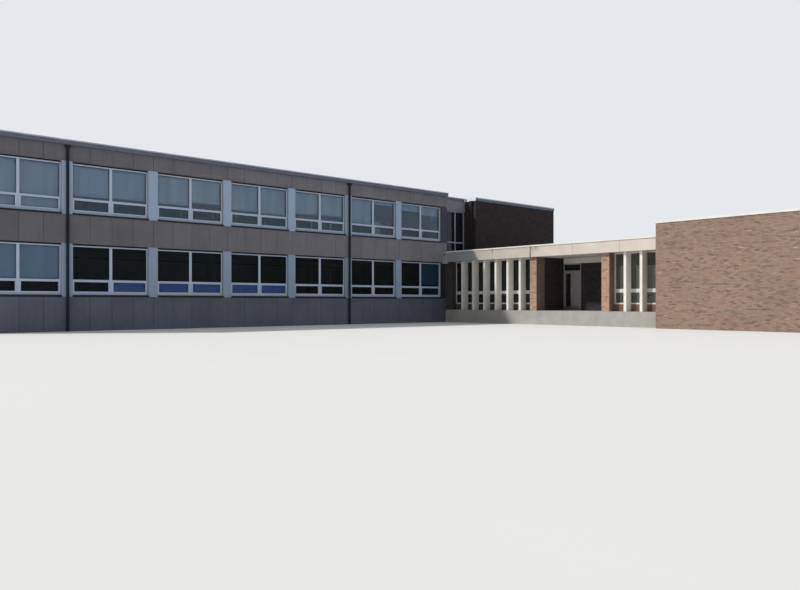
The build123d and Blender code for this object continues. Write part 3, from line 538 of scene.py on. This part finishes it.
finishes = {
    "panels": washed_concrete("washed_concrete", panel_stones, panel_cement, along=panels_painted_light),
    "link_panels": washed_concrete("link_concrete", link_stones_painted_light, (146, 147, 154), 0.03),
    "plinth": washed_concrete("plinth_concrete", shaded_plinth_stones, (99, 106, 120), 0.05, along=plinth_painted_shade),
    "end_piers": washed_concrete("end_pier_concrete", panel_stones, panel_cement, 0.03, corner=link_corner_painted_shade),
    "plain": cast_concrete("plain_concrete", (176, 174, 168), (128, 126, 122)),
    "fascia": fascia_concrete(),
    "fins": cast_concrete("fin_concrete", (243, 240, 233), (194, 190, 182), streaks=0.15),
    "coping": cast_concrete("coping_concrete", (242, 240, 235), (190, 186, 178), streaks=0.15),
    "lintel": cast_concrete("lintel_concrete", (232, 226, 216), (186, 180, 170), streaks=0.2),
    "mortar": mortar_finish("mortar", (122, 114, 108), (154, 146, 138)),
    "dark_mortar": mortar_finish("dark_mortar", (58, 52, 52), (76, 70, 68)),
    "hall_bricks": bricks_finish("hall_brick", hall_tones, (88, 72, 64)),
    "pier_bricks": bricks_finish("pier_brick", pier_brick_tones, (104, 86, 76)),
    "return_bricks": bricks_finish("return_brick", shaded_return_tones, (74, 58, 50)),
    "block_bricks": bricks_finish("block_brick", block_tones, (38, 32, 34)),
    # The frame and post cover coatings' blue cast is painted skylight on white
    "post_covers": coated_metal(
        "post_cover_coating", (162, 183, 210), (130, 144, 164), lower_storey_tint=(0.35, (120, 132, 150))
    ),
    "frames": coated_metal("frame_coating", (188, 205, 229), (152, 164, 182), 0.34),
    "entrance_frames": coated_metal("entrance_frame_coating", (212, 211, 207), (176, 175, 171), 0.36),
    # The trims' near-black coating is partly their own dark colour, partly painted shade of the shadow gaps
    # under the sills and over the heads
    "trims": coated_metal("trim_coating", (24, 25, 29), (40, 41, 45), 0.55, 0.3),
    "pipes": coated_metal("pipe_coating", (20, 25, 34), (36, 41, 50), 0.6, 0.25),
    "doors": coated_metal("door_coating", (150, 148, 146), (122, 118, 114), 0.4),
    "wing_edge": roof_edge_metal(
        "wing_edge_coating", wing_edge_face, (84, 89, 102), wing_edge_cap_highlight, (148, 160, 176)
    ),
    # The block's dark face and white return are shaded and sunlit copies of one coating: painted shade and
    # painted light
    "block_edge": roof_edge_metal(
        "block_edge_coating", (100, 118, 138), (88, 104, 124), (240, 244, 249), (220, 226, 233), block_end
    ),
    "steel": brushed_steel(),
    "classroom_glass": classroom_glass(),
    "entrance_glass": entrance_glass(),
    "tall_glass": tinted(clear_glass("tall_glass", 1.45, 0.85), (92, 98, 100)),
    "cloth": blind_cloth(),
    "board": painted_board(),
    "felt": roofing_felt(),
    "rubber": rubber(),
    "ceiling": ceiling_paint(),
}

finish_nodes = {
    "plinth": "wing_plinth_panels",
    "panels": "wing_spandrel_panels wing_parapet_panels",
    "end_piers": "wing_end_panels link_side_walls link_sill_walls",
    "link_panels": "link_head_panels",
    "plain": "wing_gable_walls wing_upstand_walls wing_posts ground_floor_slabs first_floor_slabs "
    "main_roof_slabs entrance_base entrance_roof_kerb",
    "ceiling": "low_roof_slabs",
    "lintel": "porch_lintel",
    "fascia": "entrance_fascia",
    "fins": "entrance_fins",
    "coping": "low_roof_copings",
    # The porch walls take the dark mortar, with their dark bricks, as painted shade
    "dark_mortar": "block_long_walls block_side_walls porch_side_walls porch_back_wall",
    "mortar": "entrance_piers entrance_window_plinths hall_long_walls hall_end_walls hall_doorway_walls",
    "post_covers": "wing_post_covers",
    "frames": "classroom_window_frames tall_window_frames",
    "entrance_frames": "entrance_window_frames",
    "doors": "entrance_door_frame left_door_leaf right_door_leaf",
    "steel": "left_door_handle right_door_handle frame_hinges left_door_hinges right_door_hinges",
    "classroom_glass": "classroom_window_glass",
    "tall_glass": "tall_window_glass",
    "entrance_glass": "entrance_window_glass left_door_glass",
    "trims": "wing_window_trims",
    "wing_edge": "wing_roof_gutter",
    "block_edge": "block_roof_edges",
    "pipes": "downpipes",
}


def give_finish(piece, finish):
    if not piece.material_slots:
        piece.data.materials.append(finishes[finish])
    for slot in piece.material_slots:
        slot.material = finishes[finish]


for finish, names in finish_nodes.items():
    for name in names.split():
        give_finish(nodes[name], finish)


# Mesh helpers

box_faces = ((0, 3, 2, 1), (4, 5, 6, 7), (0, 1, 5, 4), (1, 2, 6, 5), (2, 3, 7, 6), (3, 0, 4, 7))
seal_width = 0.012
seal_depth = 0.006
frame_back = window_recess + frame_depth


class Shape:
    """Corners and faces of closed solids that become one piece."""

    def __init__(self):
        self.corners = []
        self.faces = []
        self.tones = []

    def solid(self, corners, faces, tone=0.0):
        """Adds a closed solid, whose faces count its own corners."""
        first = len(self.corners)
        self.corners += corners
        self.faces += [tuple(first + number for number in face) for face in faces]
        self.tones += [tone] * len(corners)

    def box(self, x0, x1, y0, y1, z0, z1, tone=0.0):
        plan = ((x0, y0), (x1, y0), (x1, y1), (x0, y1))
        self.solid([(x, y, z) for z in (z0, z1) for x, y in plan], box_faces, tone)

    def plate(self, facing, face, near, far, u0, u1, z0, z1, tone=0.0):
        """A box on a wall plane that faces -x, +x, -y or +y. Near and far are distances out of the plane."""
        outward = -1 if facing[0] == "-" else 1
        depth = sorted((face + outward * near, face + outward * far))
        x, y = (depth, (u0, u1)) if facing[1] == "x" else ((u0, u1), depth)
        self.box(*x, *y, z0, z1, tone)

    def seal(self, facing, face, u0, u1, z0, z1, behind=0.0, width=seal_width):
        """A seal round the inside of a rectangle, on a pane that lies behind a wall plane."""
        inner0, inner1 = z0 + width, z1 - width
        bars = ((u0, u1, z0, inner0), (u0, u1, inner1, z1))
        sides = ((u0, u0 + width, inner0, inner1), (u1 - width, u1, inner0, inner1))
        for rectangle in bars + sides:
            self.plate(facing, face, -behind, seal_depth - behind, *rectangle)

    def behind_frame(self, facing, face, parts):
        """Plates behind a classroom window's frame: two depths behind it and the rectangle of each."""
        for near, far, *rectangle in parts:
            self.plate(facing, face, -frame_back - near, -frame_back - far, *rectangle)

    def tube(self, start, end, radius, sides=12):
        """A closed round bar between two points."""
        start, end = Vector(start), Vector(end)
        along = (end - start).normalized()
        across = along.orthogonal().normalized()
        upward = along.cross(across)
        angles = [2 * math.pi * number / sides for number in range(sides)]
        spokes = [radius * (math.cos(angle) * across + math.sin(angle) * upward) for angle in angles]
        corners = [tuple(centre + spoke) for centre in (start, end) for spoke in spokes]
        after = [(number + 1) % sides for number in range(sides)]
        faces = [(number, after[number], sides + after[number], sides + number) for number in range(sides)]
        self.solid(corners, faces + [tuple(reversed(range(sides))), tuple(range(sides, 2 * sides))])

    def piece(self, name, finish, slot, body="building"):
        mesh = bpy.data.meshes.new(name)
        mesh.from_pydata(self.corners, [], self.faces)
        mesh.update()
        if any(self.tones):
            tones = mesh.attributes.new("tone", "FLOAT", "POINT")
            tones.data.foreach_set("value", self.tones)
        piece = bpy.data.objects.new(name, mesh)
        scene.collection.objects.link(piece)
        give_finish(piece, finish)
        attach(piece, body)
        return piece


# Brickwork

brick_pitch = 0.21
course = 0.0625
mortar_width = 0.010
brick_sunk = 0.006
smallest_cut = 0.014
corner_overlap = 0.004


def without(rectangle, hole):
    """What a hole leaves of a rectangle."""
    u0, u1, z0, z1 = rectangle
    a0, a1, b0, b1 = hole
    if a0 >= u1 or a1 <= u0 or b0 >= z1 or b1 <= z0:
        return [rectangle]
    left, right = max(u0, a0), min(u1, a1)
    pieces = [(u0, a0, z0, z1), (a1, u1, z0, z1), (left, right, z0, b0), (left, right, b1, z1)]
    return [p for p in pieces if p[1] - p[0] > smallest_cut and p[3] - p[2] > smallest_cut]


def bricks_of_face(u0, u1, z0, z1, holes):
    """Rectangles of the bricks of one wall face, in stretcher bond, cut at its edges and holes."""
    bricks = []
    half_joint = mortar_width / 2
    for row in range(math.floor(z0 / course), math.ceil(z1 / course)):
        low = max(z0, row * course + half_joint)
        high = min(z1, (row + 1) * course - half_joint)
        shift = brick_pitch / 2 if row % 2 else 0.0
        first = math.floor((u0 - shift) / brick_pitch)
        last = math.ceil((u1 - shift) / brick_pitch)
        for number in range(first, last):
            start = max(u0, number * brick_pitch + shift + half_joint)
            end = min(u1, (number + 1) * brick_pitch + shift - half_joint)
            if end - start < smallest_cut or high - low < smallest_cut:
                continue
            rectangles = [(start, end, low, high)]
            for hole in holes:
                rectangles = [rest for one in rectangles for rest in without(one, hole)]
            bricks += rectangles
    return bricks


def lay_bricks(shape, chance, facing, at, u0, u1, z0, z1, holes=()):
    """Bricks on a wall plane, each with a tone and a stand of its own."""
    if facing[1] == "y":
        u0, u1 = u0 - corner_overlap, u1 + corner_overlap
    for start, end, low, high in bricks_of_face(u0, u1, z0, z1, holes):
        proud = chance.uniform(0.003, 0.0055)
        nudge = chance.uniform(-0.0012, 0.0012)
        tone = min(max(chance.gauss(0.48, 0.17), 0.02), 1.0)
        shape.plate(facing, at, -brick_sunk, proud, start + nudge, end + nudge, low, high, tone)


def window_holes(starts, sills_and_heads):
    return [(y, y + tall_width, low, high) for y in starts for low, high in sills_and_heads]


# Piece and finish of the facing bricks, with their walls: facing, plane, both ends, both levels and holes
ground_window = (tall_low - storey - 0.08, tall_high - storey)
block_holes = window_holes(block_side_starts, (ground_window, (tall_low, tall_high)))
entrance_holes = window_holes(entrance_side_starts, (ground_window,))
brick_walls = {
    ("block_bricks_front", "block_bricks"): (
        ("-y", front_y, block_x0, block_x1, low_roof_top, wall_top),
        ("-x", block_x0, front_y, link_y0, low_roof_top, wall_top),
        ("-x", block_x0, link_y1, rear_y, 0.0, wall_top),
    ),
    ("block_bricks_rear", "block_bricks"): (
        ("+y", rear_y, block_x0, block_x1, 0.0, wall_top),
        ("+x", block_x1, front_y, rear_y, 0.0, wall_top, block_holes),
    ),
    ("hall_bricks", "hall_bricks"): (
        ("-x", hall_x0, hall_y0, hall_y1, 0.0, hall_wall_top),
        ("-y", hall_y0, hall_x0, block_x1, 0.0, hall_wall_top),
        ("+y", hall_y1, hall_x0, pier_x, 0.0, hall_wall_top),
        ("+y", hall_y1, pier_x, entrance_x, floor_level, hall_wall_top),
        ("+y", hall_y1, entrance_x, block_x1, low_roof_top, hall_wall_top),
    ),
    ("side_bricks", "hall_bricks"): (
        ("+x", block_x1, hall_y0, hall_y1, 0.0, hall_wall_top),
        ("+x", block_x1, hall_y1, front_y, 0.0, fascia_top, entrance_holes),
    ),
}
chance = random.Random(41)
for (name, finish), walls in brick_walls.items():
    shape = Shape()
    for wall in walls:
        lay_bricks(shape, chance, *wall)
    shape.piece(name, finish, "brown_brick")

# The entrance front: pale piers, with the piers' side faces and the porch walls darker as painted shade.
# Facing, plane, both ends and top
porch_y1, porch_y0 = from_front(porch_start), from_front(porch_end)
near_pier, far_pier = porch_y1 + brick_pier, porch_y0 - brick_pier
wing_pier = from_front(brick_pier)
pale, shaded_returns, dark = Shape(), Shape(), Shape()
entrance_walls = (
    (dark, "-x", pier_x, wing_pier, front_y, soffit),
    (dark, "-y", wing_pier, pier_x, entrance_x, soffit),
    (pale, "-x", pier_x, porch_y1, near_pier, soffit),
    (shaded_returns, "-y", porch_y1, pier_x, plinth_back_x, soffit),
    (shaded_returns, "+y", near_pier, pier_x, entrance_x, soffit),
    (pale, "-x", pier_x, far_pier, porch_y0, soffit),
    (shaded_returns, "+y", porch_y0, pier_x, plinth_back_x, soffit),
    (shaded_returns, "-y", far_pier, pier_x, entrance_x, soffit),
    (dark, "-x", entrance_x, near_pier, wing_pier, window_plinth_top),
    (shaded_returns, "-x", entrance_x, hall_y1, far_pier, window_plinth_top),
    (dark, "-y", porch_y1, plinth_back_x, porch_back_x, soffit),
    (dark, "+y", porch_y0, plinth_back_x, porch_back_x, soffit),
    (dark, "-x", porch_back_x, porch_y0, porch_y1 - door_opening_width, soffit - lintel_height),
)
chance = random.Random(42)
for shape, facing, at, u0, u1, top in entrance_walls:
    lay_bricks(shape, chance, facing, at, u0, u1, floor_level, top)
pale.piece("entrance_bricks", "pier_bricks", "brown_brick")
shaded_returns.piece("shaded_pier_return_bricks", "return_bricks", "brown_brick")
# The porch walls and the pier by the wing take the dark block brick as painted shade
dark.piece("porch_bricks_painted_shade", "block_bricks", "brown_brick")


# Window fittings

pane_depth = window_recess + (frame_depth - glass_thickness) / 2
fanlight_low = 2.95
fanlight_edge = 0.06
fanlight_depth = 0.033


def light_starts(number):
    """Left edges of the two lights of the window in a bay."""
    left = first_bay_x + number * bay + post_half + frame_bar
    return (left, left + light_width + mullion)


def classroom_lights():
    """Facing and plane of the wall, and left edge and sill level, for every light of the classrooms."""
    return [
        (facing, face, x, sill)
        for sill in sills
        for number in range(bay_count)
        for x in light_starts(number)
        for facing, face in wing_fronts
    ]


def classroom_seals():
    """Dark seals round every classroom pane, on the outer side."""
    shape = Shape()
    for facing, face, x, sill in classroom_lights():
        lights = (
            (x, x + light_width, sill + upper_light_low, sill + upper_light_high),
            (x + sash_inset, x + light_width - sash_inset, sill + sash_low, sill + sash_high),
        )
        for light in lights:
            shape.seal(facing, face, *light, behind=pane_depth)
    shape.piece("classroom_window_seals", "rubber", "dark_metal")


def classroom_sash_handles():
    """Lever handles and stays on the inside of the opening sashes."""
    shape = Shape()
    for facing, face, x, sill in classroom_lights():
        middle = x + light_width / 2
        top = sill + sash_high
        low = sill + sash_low
        # Rose, neck, lever and both stays
        parts = [
            (0.0, 0.009, middle - 0.06, middle + 0.06, top + 0.01, top + 0.04),
            (0.009, 0.034, middle - 0.012, middle + 0.012, top + 0.013, top + 0.037),
            (0.022, 0.034, middle - 0.012, middle + 0.11, top + 0.016, top + 0.034),
        ]
        for stay in (x + 0.09, x + light_width - 0.09):
            parts.append((0.0, 0.006, stay - 0.012, stay + 0.012, low - 0.03, low + 0.05))
        shape.behind_frame(facing, face, parts)
    shape.piece("classroom_sash_handles", "frames", "white_frame")


def ribbon_lights():
    """Each pane of the entrance windows: near and far distance from the front line, and both levels."""
    lights = []
    for start, end, lines in (
        (brick_pier, porch_start - brick_pier, left_fin_lines),
        (porch_end + brick_pier, entrance_length, right_fin_lines),
    ):
        edges = [start] + lines + [end]
        for a, b in zip(edges, edges[1:]):
            near = a + (entrance_bar if a == start else entrance_bar / 2)
            far = b - (entrance_bar if b == end else entrance_bar / 2)
            lights += [(near, far, low, high) for low, high in entrance_light_rows]
    return lights


def tall_lights():
    """The four panes of a tall window, from its lower corner."""
    half = tall_bar / 2
    middle = tall_width / 2
    transom = tall_transom - tall_low
    columns = ((tall_bar, middle - half), (middle + half, tall_width - tall_bar))
    rows = ((tall_bar, transom - half), (transom + half, tall_high - tall_low - tall_bar))
    return [(u0, u1, z0, z1) for u0, u1 in columns for z0, z1 in rows]


def tall_windows():
    """Facing, plane of the panes' outer side, lower corner and sill of each tall window."""
    pane_in = brick_wall / 2 - glass_thickness / 2
    link_x = block_x0 - tall_width
    side_x = block_x1 - pane_in
    places = [("-y", link_y0 + pane_in, link_x, tall_low), ("+y", link_y1 - pane_in, link_x, tall_low)]
    places += [("+x", side_x, y, sill) for y in block_side_starts for sill in (tall_low - storey, tall_low)]
    places += [("+x", side_x, y, tall_low - storey) for y in entrance_side_starts]
    return places


def other_seals():
    """Dark seals round the panes of the entrance windows, the tall windows and the fanlight."""
    entrance = Shape()
    pane_x = entrance_x + (frame_depth - glass_thickness) / 2
    for near, far, low, high in ribbon_lights():
        entrance.seal("-x", pane_x, from_front(far), from_front(near), low, high)
    fanlight_top = soffit - lintel_height - fanlight_edge
    fanlight_y = (porch_y1 - door_opening_width + fanlight_edge, porch_y1 - fanlight_edge)
    entrance.seal("-x", porch_back_x + fanlight_depth, *fanlight_y, fanlight_low, fanlight_top)
    entrance.piece("entrance_window_seals", "rubber", "dark_metal")
    tall = Shape()
    for facing, face, u, sill in tall_windows():
        for u0, u1, z0, z1 in tall_lights():
            tall.seal(facing, face, u + u0, u + u1, sill + z0, sill + z1)
    tall.piece("tall_window_seals", "rubber", "dark_metal")


# Bay from the free end, and left or right light, of each window with a blue board behind its sash
boarded_lights = ((1, 1), (2, 0), (2, 1), (3, 0), (3, 1))


def window_boards():
    """Plain blue boards that stand behind the opening sashes of some ground-floor windows."""
    shape = Shape()
    for number, side in boarded_lights:
        x0 = light_starts(number)[side] + 0.01
        x1 = x0 + light_width - 0.02
        low, high = sills[0] + 0.02, sills[0] + sash_high + 0.07
        # Board, top rail and two cleats
        parts = [(0.002, 0.012, x0, x1, low, high), (0.0, 0.02, x0, x1, high, high + 0.012)]
        parts += [(0.012, 0.03, cleat, cleat + 0.03, low, high) for cleat in (x0 + 0.1, x1 - 0.13)]
        shape.behind_frame("-y", front_y, parts)
    shape.piece("window_boards", "board", "white_frame")


classroom_seals()
classroom_sash_handles()
other_seals()
window_boards()


# Roller blinds

blind_y = 0.282
blind_overlap = 0.02
blind_thickness = 0.0012
blind_wave = 0.0022
blind_columns, blind_rows = 16, 12

# How far above the sill the blinds end, for the left and right light of each bay from the free end on
front_upper_blinds = (
    (0.10, 0.08), (0.76, 0.78), (0.76, 0.94), (0.78, 0.73), (0.90, 0.93), (0.66, 1.83), (1.66, 1.50),
)
front_ground_blinds = ((0.64, 0.64), (), (), (), (), (), (None, 0.76))
rear_blinds = ((0.08, 0.08),) * bay_count


def blind_sheet(name, x0, x1, z0, z1, y, chance):
    """One hanging roller blind, with the slight waves of thin cloth."""
    phase = chance.uniform(0, 6.28)
    corners = []
    for side in (0.0, blind_thickness):
        for row in range(blind_rows + 1):
            down = row / blind_rows
            for column in range(blind_columns + 1):
                across = column / blind_columns
                wave = blind_wave * math.sin(2 * math.pi * across * 2 + phase) * down
                corners.append((x0 + across * (x1 - x0), y + side + wave, z1 + down * (z0 - z1)))
    per_row = blind_columns + 1
    last = per_row * blind_rows
    back = last + per_row
    faces = []
    for a in (row + column for row in range(0, last, per_row) for column in range(blind_columns)):
        quad = (a, a + 1, a + 1 + per_row, a + per_row)
        faces += [quad[::-1], tuple(back + number for number in quad)]
    edge = [*range(blind_columns), *range(blind_columns, last, per_row)]
    edge += [*range(last + blind_columns, last, -1), *range(last, 0, -per_row)]
    faces += [(a, b, back + b, back + a) for a, b in zip(edge, edge[1:] + edge[:1])]
    shape = Shape()
    shape.solid(corners, faces)
    sheet = shape.piece(name, "cloth", "plain_concrete")
    sheet.data.shade_smooth()


# Front or rear, storey, and the lower ends of each bay's blinds
blind_plan = (
    ("front", 1, front_upper_blinds), ("front", 0, front_ground_blinds),
    ("rear", 0, rear_blinds), ("rear", 1, rear_blinds),
)


def classroom_blinds():
    """Roller blinds with their tubes, brackets and bottom bars."""
    chance = random.Random(7)
    tubes = Shape()
    sheets = []
    blinds = (
        (face, number, level, side, end)
        for face, level, bays in blind_plan
        for number, ends in enumerate(bays)
        for side, end in enumerate(ends)
        if end is not None
    )
    for face, number, level, side, end in blinds:
        x0 = light_starts(number)[side] - blind_overlap
        x1 = x0 + light_width + 2 * blind_overlap
        top = sills[level] + window_height - 0.03
        low = sills[level] + end
        inward = 1 if face == "front" else -1
        y = (front_y if face == "front" else rear_y) + inward * blind_y
        tube_y = y + inward * 0.022
        tubes.tube((x0 - 0.01, tube_y, top), (x1 + 0.01, tube_y, top), 0.02, 14)
        bracket_y = sorted((y - inward * 0.004, y + inward * 0.046))
        for end_x in (x0 - 0.016, x1 + 0.01):
            tubes.box(end_x, end_x + 0.006, *bracket_y, top - 0.03, top + 0.03)
        bar_y = sorted((y - inward * 0.004, y + inward * 0.008))
        tubes.box(x0, x1, *bar_y, low - 0.018, low + 0.006)
        name = f"blind_{face}_{('ground', 'upper')[level]}_{number + 1}_{('left', 'right')[side]}"
        sheets.append((name, x0, x1, low, top, y))
    tubes.piece("classroom_blind_tubes", "frames", "white_frame")
    for sheet in sheets:
        blind_sheet(*sheet, chance)


classroom_blinds()


# Post covers

seam_from_line = 0.15
fixings_per_seam = 6


def post_cover_seams():
    """Folded seams near both edges of the post covers, with their fixings."""
    shape = Shape()
    seams = [
        (facing, face, first_bay_x + number * bay + offset, low, high)
        for number in range(1, bay_count)
        for low, high in storey_zones
        for offset in (-seam_from_line, seam_from_line)
        for facing, face in wing_fronts
    ]
    for facing, face, x, low, high in seams:
        shape.plate(facing, face, -0.032, -0.025, x - 0.008, x + 0.008, low + 0.01, high - 0.01)
        outward = -1 if facing == "-y" else 1
        y = face - outward * 0.026
        for step in range(fixings_per_seam):
            z = low + 0.12 + step * (high - low - 0.24) / (fixings_per_seam - 1)
            shape.tube((x, y, z), (x, y + outward * 0.004, z), 0.006, 10)
    shape.piece("post_cover_seams", "post_covers", "white_frame")


post_cover_seams()


# Door fittings

kick_plate_low, kick_plate_high = floor_level + 0.04, floor_level + 0.21
lock_height = 1.5
push_bar_height = 1.81


def door_fittings(leaf_box, body, meeting_side):
    """A kick plate and lock on a leaf's outer face, and a push bar inside."""
    (outer, y0, _), (inner, y1, _) = leaf_box
    steel = Shape()
    steel.plate("-x", outer, -0.001, 0.0015, y0 + 0.015, y1 - 0.015, kick_plate_low, kick_plate_high)
    lock_y = (y0 if meeting_side < 0 else y1) - meeting_side * 0.0475
    # Lock rose and its cylinder: both ends out of the outer face, radius and sides
    for start, end, radius, sides in ((-0.001, 0.007, 0.026, 24), (0.007, 0.011, 0.009, 16)):
        steel.tube((outer - start, lock_y, lock_height), (outer - end, lock_y, lock_height), radius, sides)
    bar_x = inner + 0.05
    bar_ends = (y0 + 0.05, y1 - 0.05)
    low, high = push_bar_height - 0.03, push_bar_height + 0.03
    for y in bar_ends:
        steel.box(inner - 0.001, inner + 0.062, y - 0.012, y + 0.012, low, high)
    steel.tube((bar_x, bar_ends[0], push_bar_height), (bar_x, bar_ends[1], push_bar_height), 0.014, 18)
    steel.piece(body + "_fittings", "steel", "handle_steel", body)


def door_glass_seal():
    shape = Shape()
    low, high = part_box("left_door_glass")
    shape.seal("-x", low[0], low[1], high[1], low[2], high[2], width=0.01)
    shape.piece("left_door_seal", "rubber", "dark_metal", "left_leaf")


door_fittings(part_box("left_door_leaf"), "left_leaf", -1)
door_fittings(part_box("right_door_leaf"), "right_leaf", 1)
door_glass_seal()


# Roofs

felt_width = 1.0
felt_lap = 0.08
upstand_height = 0.15
outlet_rise = 0.008
wing_a, wing_b = wing_x0 + clad_wall, wing_x1 - clad_wall
wing_front, wing_rear = front_y + clad_wall, rear_y - clad_wall
block_a, block_b = block_x0 + brick_wall, block_x1 - brick_wall
block_front, block_rear = front_y + brick_wall, rear_y - brick_wall
link_a, link_b = link_y0 + brick_wall, link_y1 - brick_wall
hall_a, hall_front, hall_rear = hall_x0 + brick_wall, hall_y0 + brick_wall, hall_y1 - brick_wall

# Both ends in X, both ends in Y and the level of each flat roof
flat_roofs = (
    (wing_a, wing_b, wing_front, wing_rear, roof_slab_top),
    (wing_b, block_a, link_a, link_b, roof_slab_top),
    (block_a, block_b, block_front, block_rear, roof_slab_top),
    (kerb_x1, block_b, hall_y1 + 0.006, front_y - 0.006, low_roof_top),
    (wing_x1 + 0.006, block_x0 - 0.006, front_y, link_y0 - 0.006, low_roof_top),
    (hall_a, block_b, hall_front, hall_rear, hall_roof_top),
)

# Inner faces of the walls round the main roof and round the hall's roof: facing, plane and both ends
main_roof_walls = (
    ("+y", wing_front, wing_a, wing_b), ("-y", wing_rear, wing_a, wing_b),
    ("+x", wing_a, wing_front, wing_rear),
    ("-x", wing_b, wing_front, link_a), ("-x", wing_b, link_b, wing_rear),
    ("+y", link_a, wing_b, block_a), ("-y", link_b, wing_b, block_a),
    ("+x", block_a, block_front, link_a), ("+x", block_a, link_b, block_rear),
    ("+y", block_front, block_a, block_b), ("-y", block_rear, block_a, block_b),
    ("-x", block_b, block_front, block_rear),
)
hall_roof_walls = (
    ("+y", hall_front, hall_a, block_b), ("-y", hall_rear, hall_a, block_b),
    ("+x", hall_a, hall_front, hall_rear), ("-x", block_b, hall_front, hall_rear),
)

outlet_places = [(x, y, roof_slab_top) for x in (-12.0, -4.0, 4.0) for y in (front_y + 0.75, rear_y - 0.75)]
outlet_places += [
    (14.2, rear_y - 0.8, roof_slab_top), (14.2, front_y + 0.8, roof_slab_top),
    (12.0, 2.0, low_roof_top), (12.0, -4.0, low_roof_top),
    (12.0, -10.0, hall_roof_top), (12.0, -14.5, hall_roof_top),
]


def felt_sheets(shape, x0, x1, y0, y1, z):
    """Sheets of roofing felt side by side, each lapped over the one before."""
    count = math.ceil((x1 - x0 - felt_lap) / (felt_width - felt_lap))
    step = (x1 - x0 - felt_lap) / count
    for number in range(count):
        rise = 0.004 if number % 2 else 0.0
        start = x0 + number * step
        shape.box(start, start + step + felt_lap, y0, y1, z - 0.002, z + 0.005 + rise)


def roof_outlet(shape, x, y, z):
    """A rainwater outlet with a caged leaf guard."""
    shape.tube((x, y, z), (x, y, z + 0.014), 0.13, 24)
    for number in range(12):
        angle = math.pi * number / 6
        foot = (x + 0.075 * math.cos(angle), y + 0.075 * math.sin(angle), z + 0.012)
        head = (x + 0.05 * math.cos(angle), y + 0.05 * math.sin(angle), z + 0.115)
        shape.tube(foot, head, 0.005, 6)
    shape.tube((x, y, z + 0.108), (x, y, z + 0.12), 0.062, 18)


def roofing():
    """Felt on every flat roof, turned up against the walls round it, and the outlets."""
    felt, upstand, outlets = Shape(), Shape(), Shape()
    for roof in flat_roofs:
        felt_sheets(felt, *roof)
    for walls, level in ((main_roof_walls, roof_slab_top), (hall_roof_walls, hall_roof_top)):
        top = level + upstand_height
        for wall in walls:
            upstand.plate(wall[0], wall[1], -0.002, 0.006, *wall[2:], level, top)
            upstand.plate(wall[0], wall[1], 0.0, 0.01, *wall[2:], top - 0.02, top + 0.01)
    for x, y, z in outlet_places:
        roof_outlet(outlets, x, y, z + outlet_rise)
    felt.piece("roofing_felt_sheets", "felt", "roof_metal")
    upstand.piece("roofing_felt_upstands", "felt", "roof_metal")
    outlets.piece("roof_outlets", "pipes", "dark_metal")


strap_half = 0.04
strap_sheet = 0.003
wing_straps = [first_bay_x + 1.35 + bay * number for number in range(bay_count)]
block_straps = [block_x0 + 2.7, block_x0 + 5.4]
end_strap_lines = (middle_y - 2.4, middle_y + 2.4)


def edge_straps(name, finish, overhang, wall, lines, end):
    """Cover straps over the butt joints of a metal roof edge: along both fronts and on one end wall."""
    places = [(facing, face, x) for facing, face in wing_fronts for x in lines]
    places += [(*end, y) for y in end_strap_lines]
    face_depth = overhang - gutter_cap_step
    bands = (
        (face_depth - 0.001, face_depth + strap_sheet, wall_top + 0.004, roof_edge_cap_low),
        (overhang - 0.001, overhang + strap_sheet, roof_edge_cap_low, roof_top + strap_sheet),
        (-wall, overhang, roof_top - 0.001, roof_top + strap_sheet),
    )
    shape = Shape()
    for facing, face, u in places:
        for near, far, low, high in bands:
            shape.plate(facing, face, near, far, u - strap_half, u + strap_half, low, high)
    shape.piece(name, finish, "roof_metal")


roofing()
edge_straps("wing_edge_straps", "wing_edge", gutter_overhang, clad_wall, wing_straps, ("-x", wing_x0))
edge_straps("block_edge_straps", "block_edge", coping_overhang, brick_wall, block_straps, ("+x", block_x1))


# Camera, light and floor

photo_width = 800.0
focal_pixels = 716.0
horizon_below_middle = 7.2
eye_from_wing = (-30.85, -31.06)
eye_height = 1.2
view_direction = Vector((0.6569, 0.7540, 0.0))
sun_direction = Vector((1.0, -0.62, -0.96))
fill_light = {"Color": (0.93, 0.965, 1.0, 1.0), "Strength": 0.43}
backdrop_light = {"Color": (0.79, 0.81, 0.84, 1.0), "Strength": 1.0}


def pointed(direction):
    """The turn of a camera or lamp that looks in a direction."""
    return direction.to_track_quat("-Z", "Y").to_euler()


def studio():
    """A plain floor, one sun, and soft light from all round with a pale backdrop."""
    bpy.ops.mesh.primitive_circle_add(vertices=96, radius=420.0, fill_type="NGON", location=(0, 0, 0))
    floor = bpy.context.object
    floor.name = "studio_floor"
    floor.data.materials.append(ground_finish())

    data = bpy.data.lights.new("key_light", "SUN")
    data.energy = 2.73
    data.angle = math.radians(3)
    data.color = (1.0, 0.985, 0.96)
    sun = bpy.data.objects.new("key_light", data)
    scene.collection.objects.link(sun)
    sun.rotation_euler = pointed(sun_direction)

    world = bpy.data.worlds.new("studio_world")
    scene.world = world
    world.use_nodes = True
    world.node_tree.nodes.clear()
    sky = Nodes(world.node_tree)
    rays = ("Is Camera Ray", "Is Glossy Ray", "Is Transmission Ray")
    seen = sky.largest(*(sky.add("LightPath", ray) for ray in rays))
    lights = (fill_light, backdrop_light)
    fill, backdrop = (sky.add("Background", "Background", light) for light in lights)
    shown = sky.add("MixShader", "Shader", {"Fac": seen, 1: fill, 2: backdrop})
    sky.add("OutputWorld", inputs={"Surface": shown})
    scene.view_settings.view_transform = "Standard"


def camera():
    """The photograph's view: level, at eye height, with the horizon just under the middle."""
    data = bpy.data.cameras.new("camera")
    data.sensor_width = 36.0
    data.lens = focal_pixels / photo_width * data.sensor_width
    data.shift_y = horizon_below_middle / photo_width
    data.clip_end = 2000.0
    eye = bpy.data.objects.new("camera", data)
    scene.collection.objects.link(eye)
    eye.location = (wing_x1 + eye_from_wing[0], front_y + eye_from_wing[1], eye_height)
    eye.rotation_euler = pointed(view_direction)
    scene.camera = eye


studio()
camera()
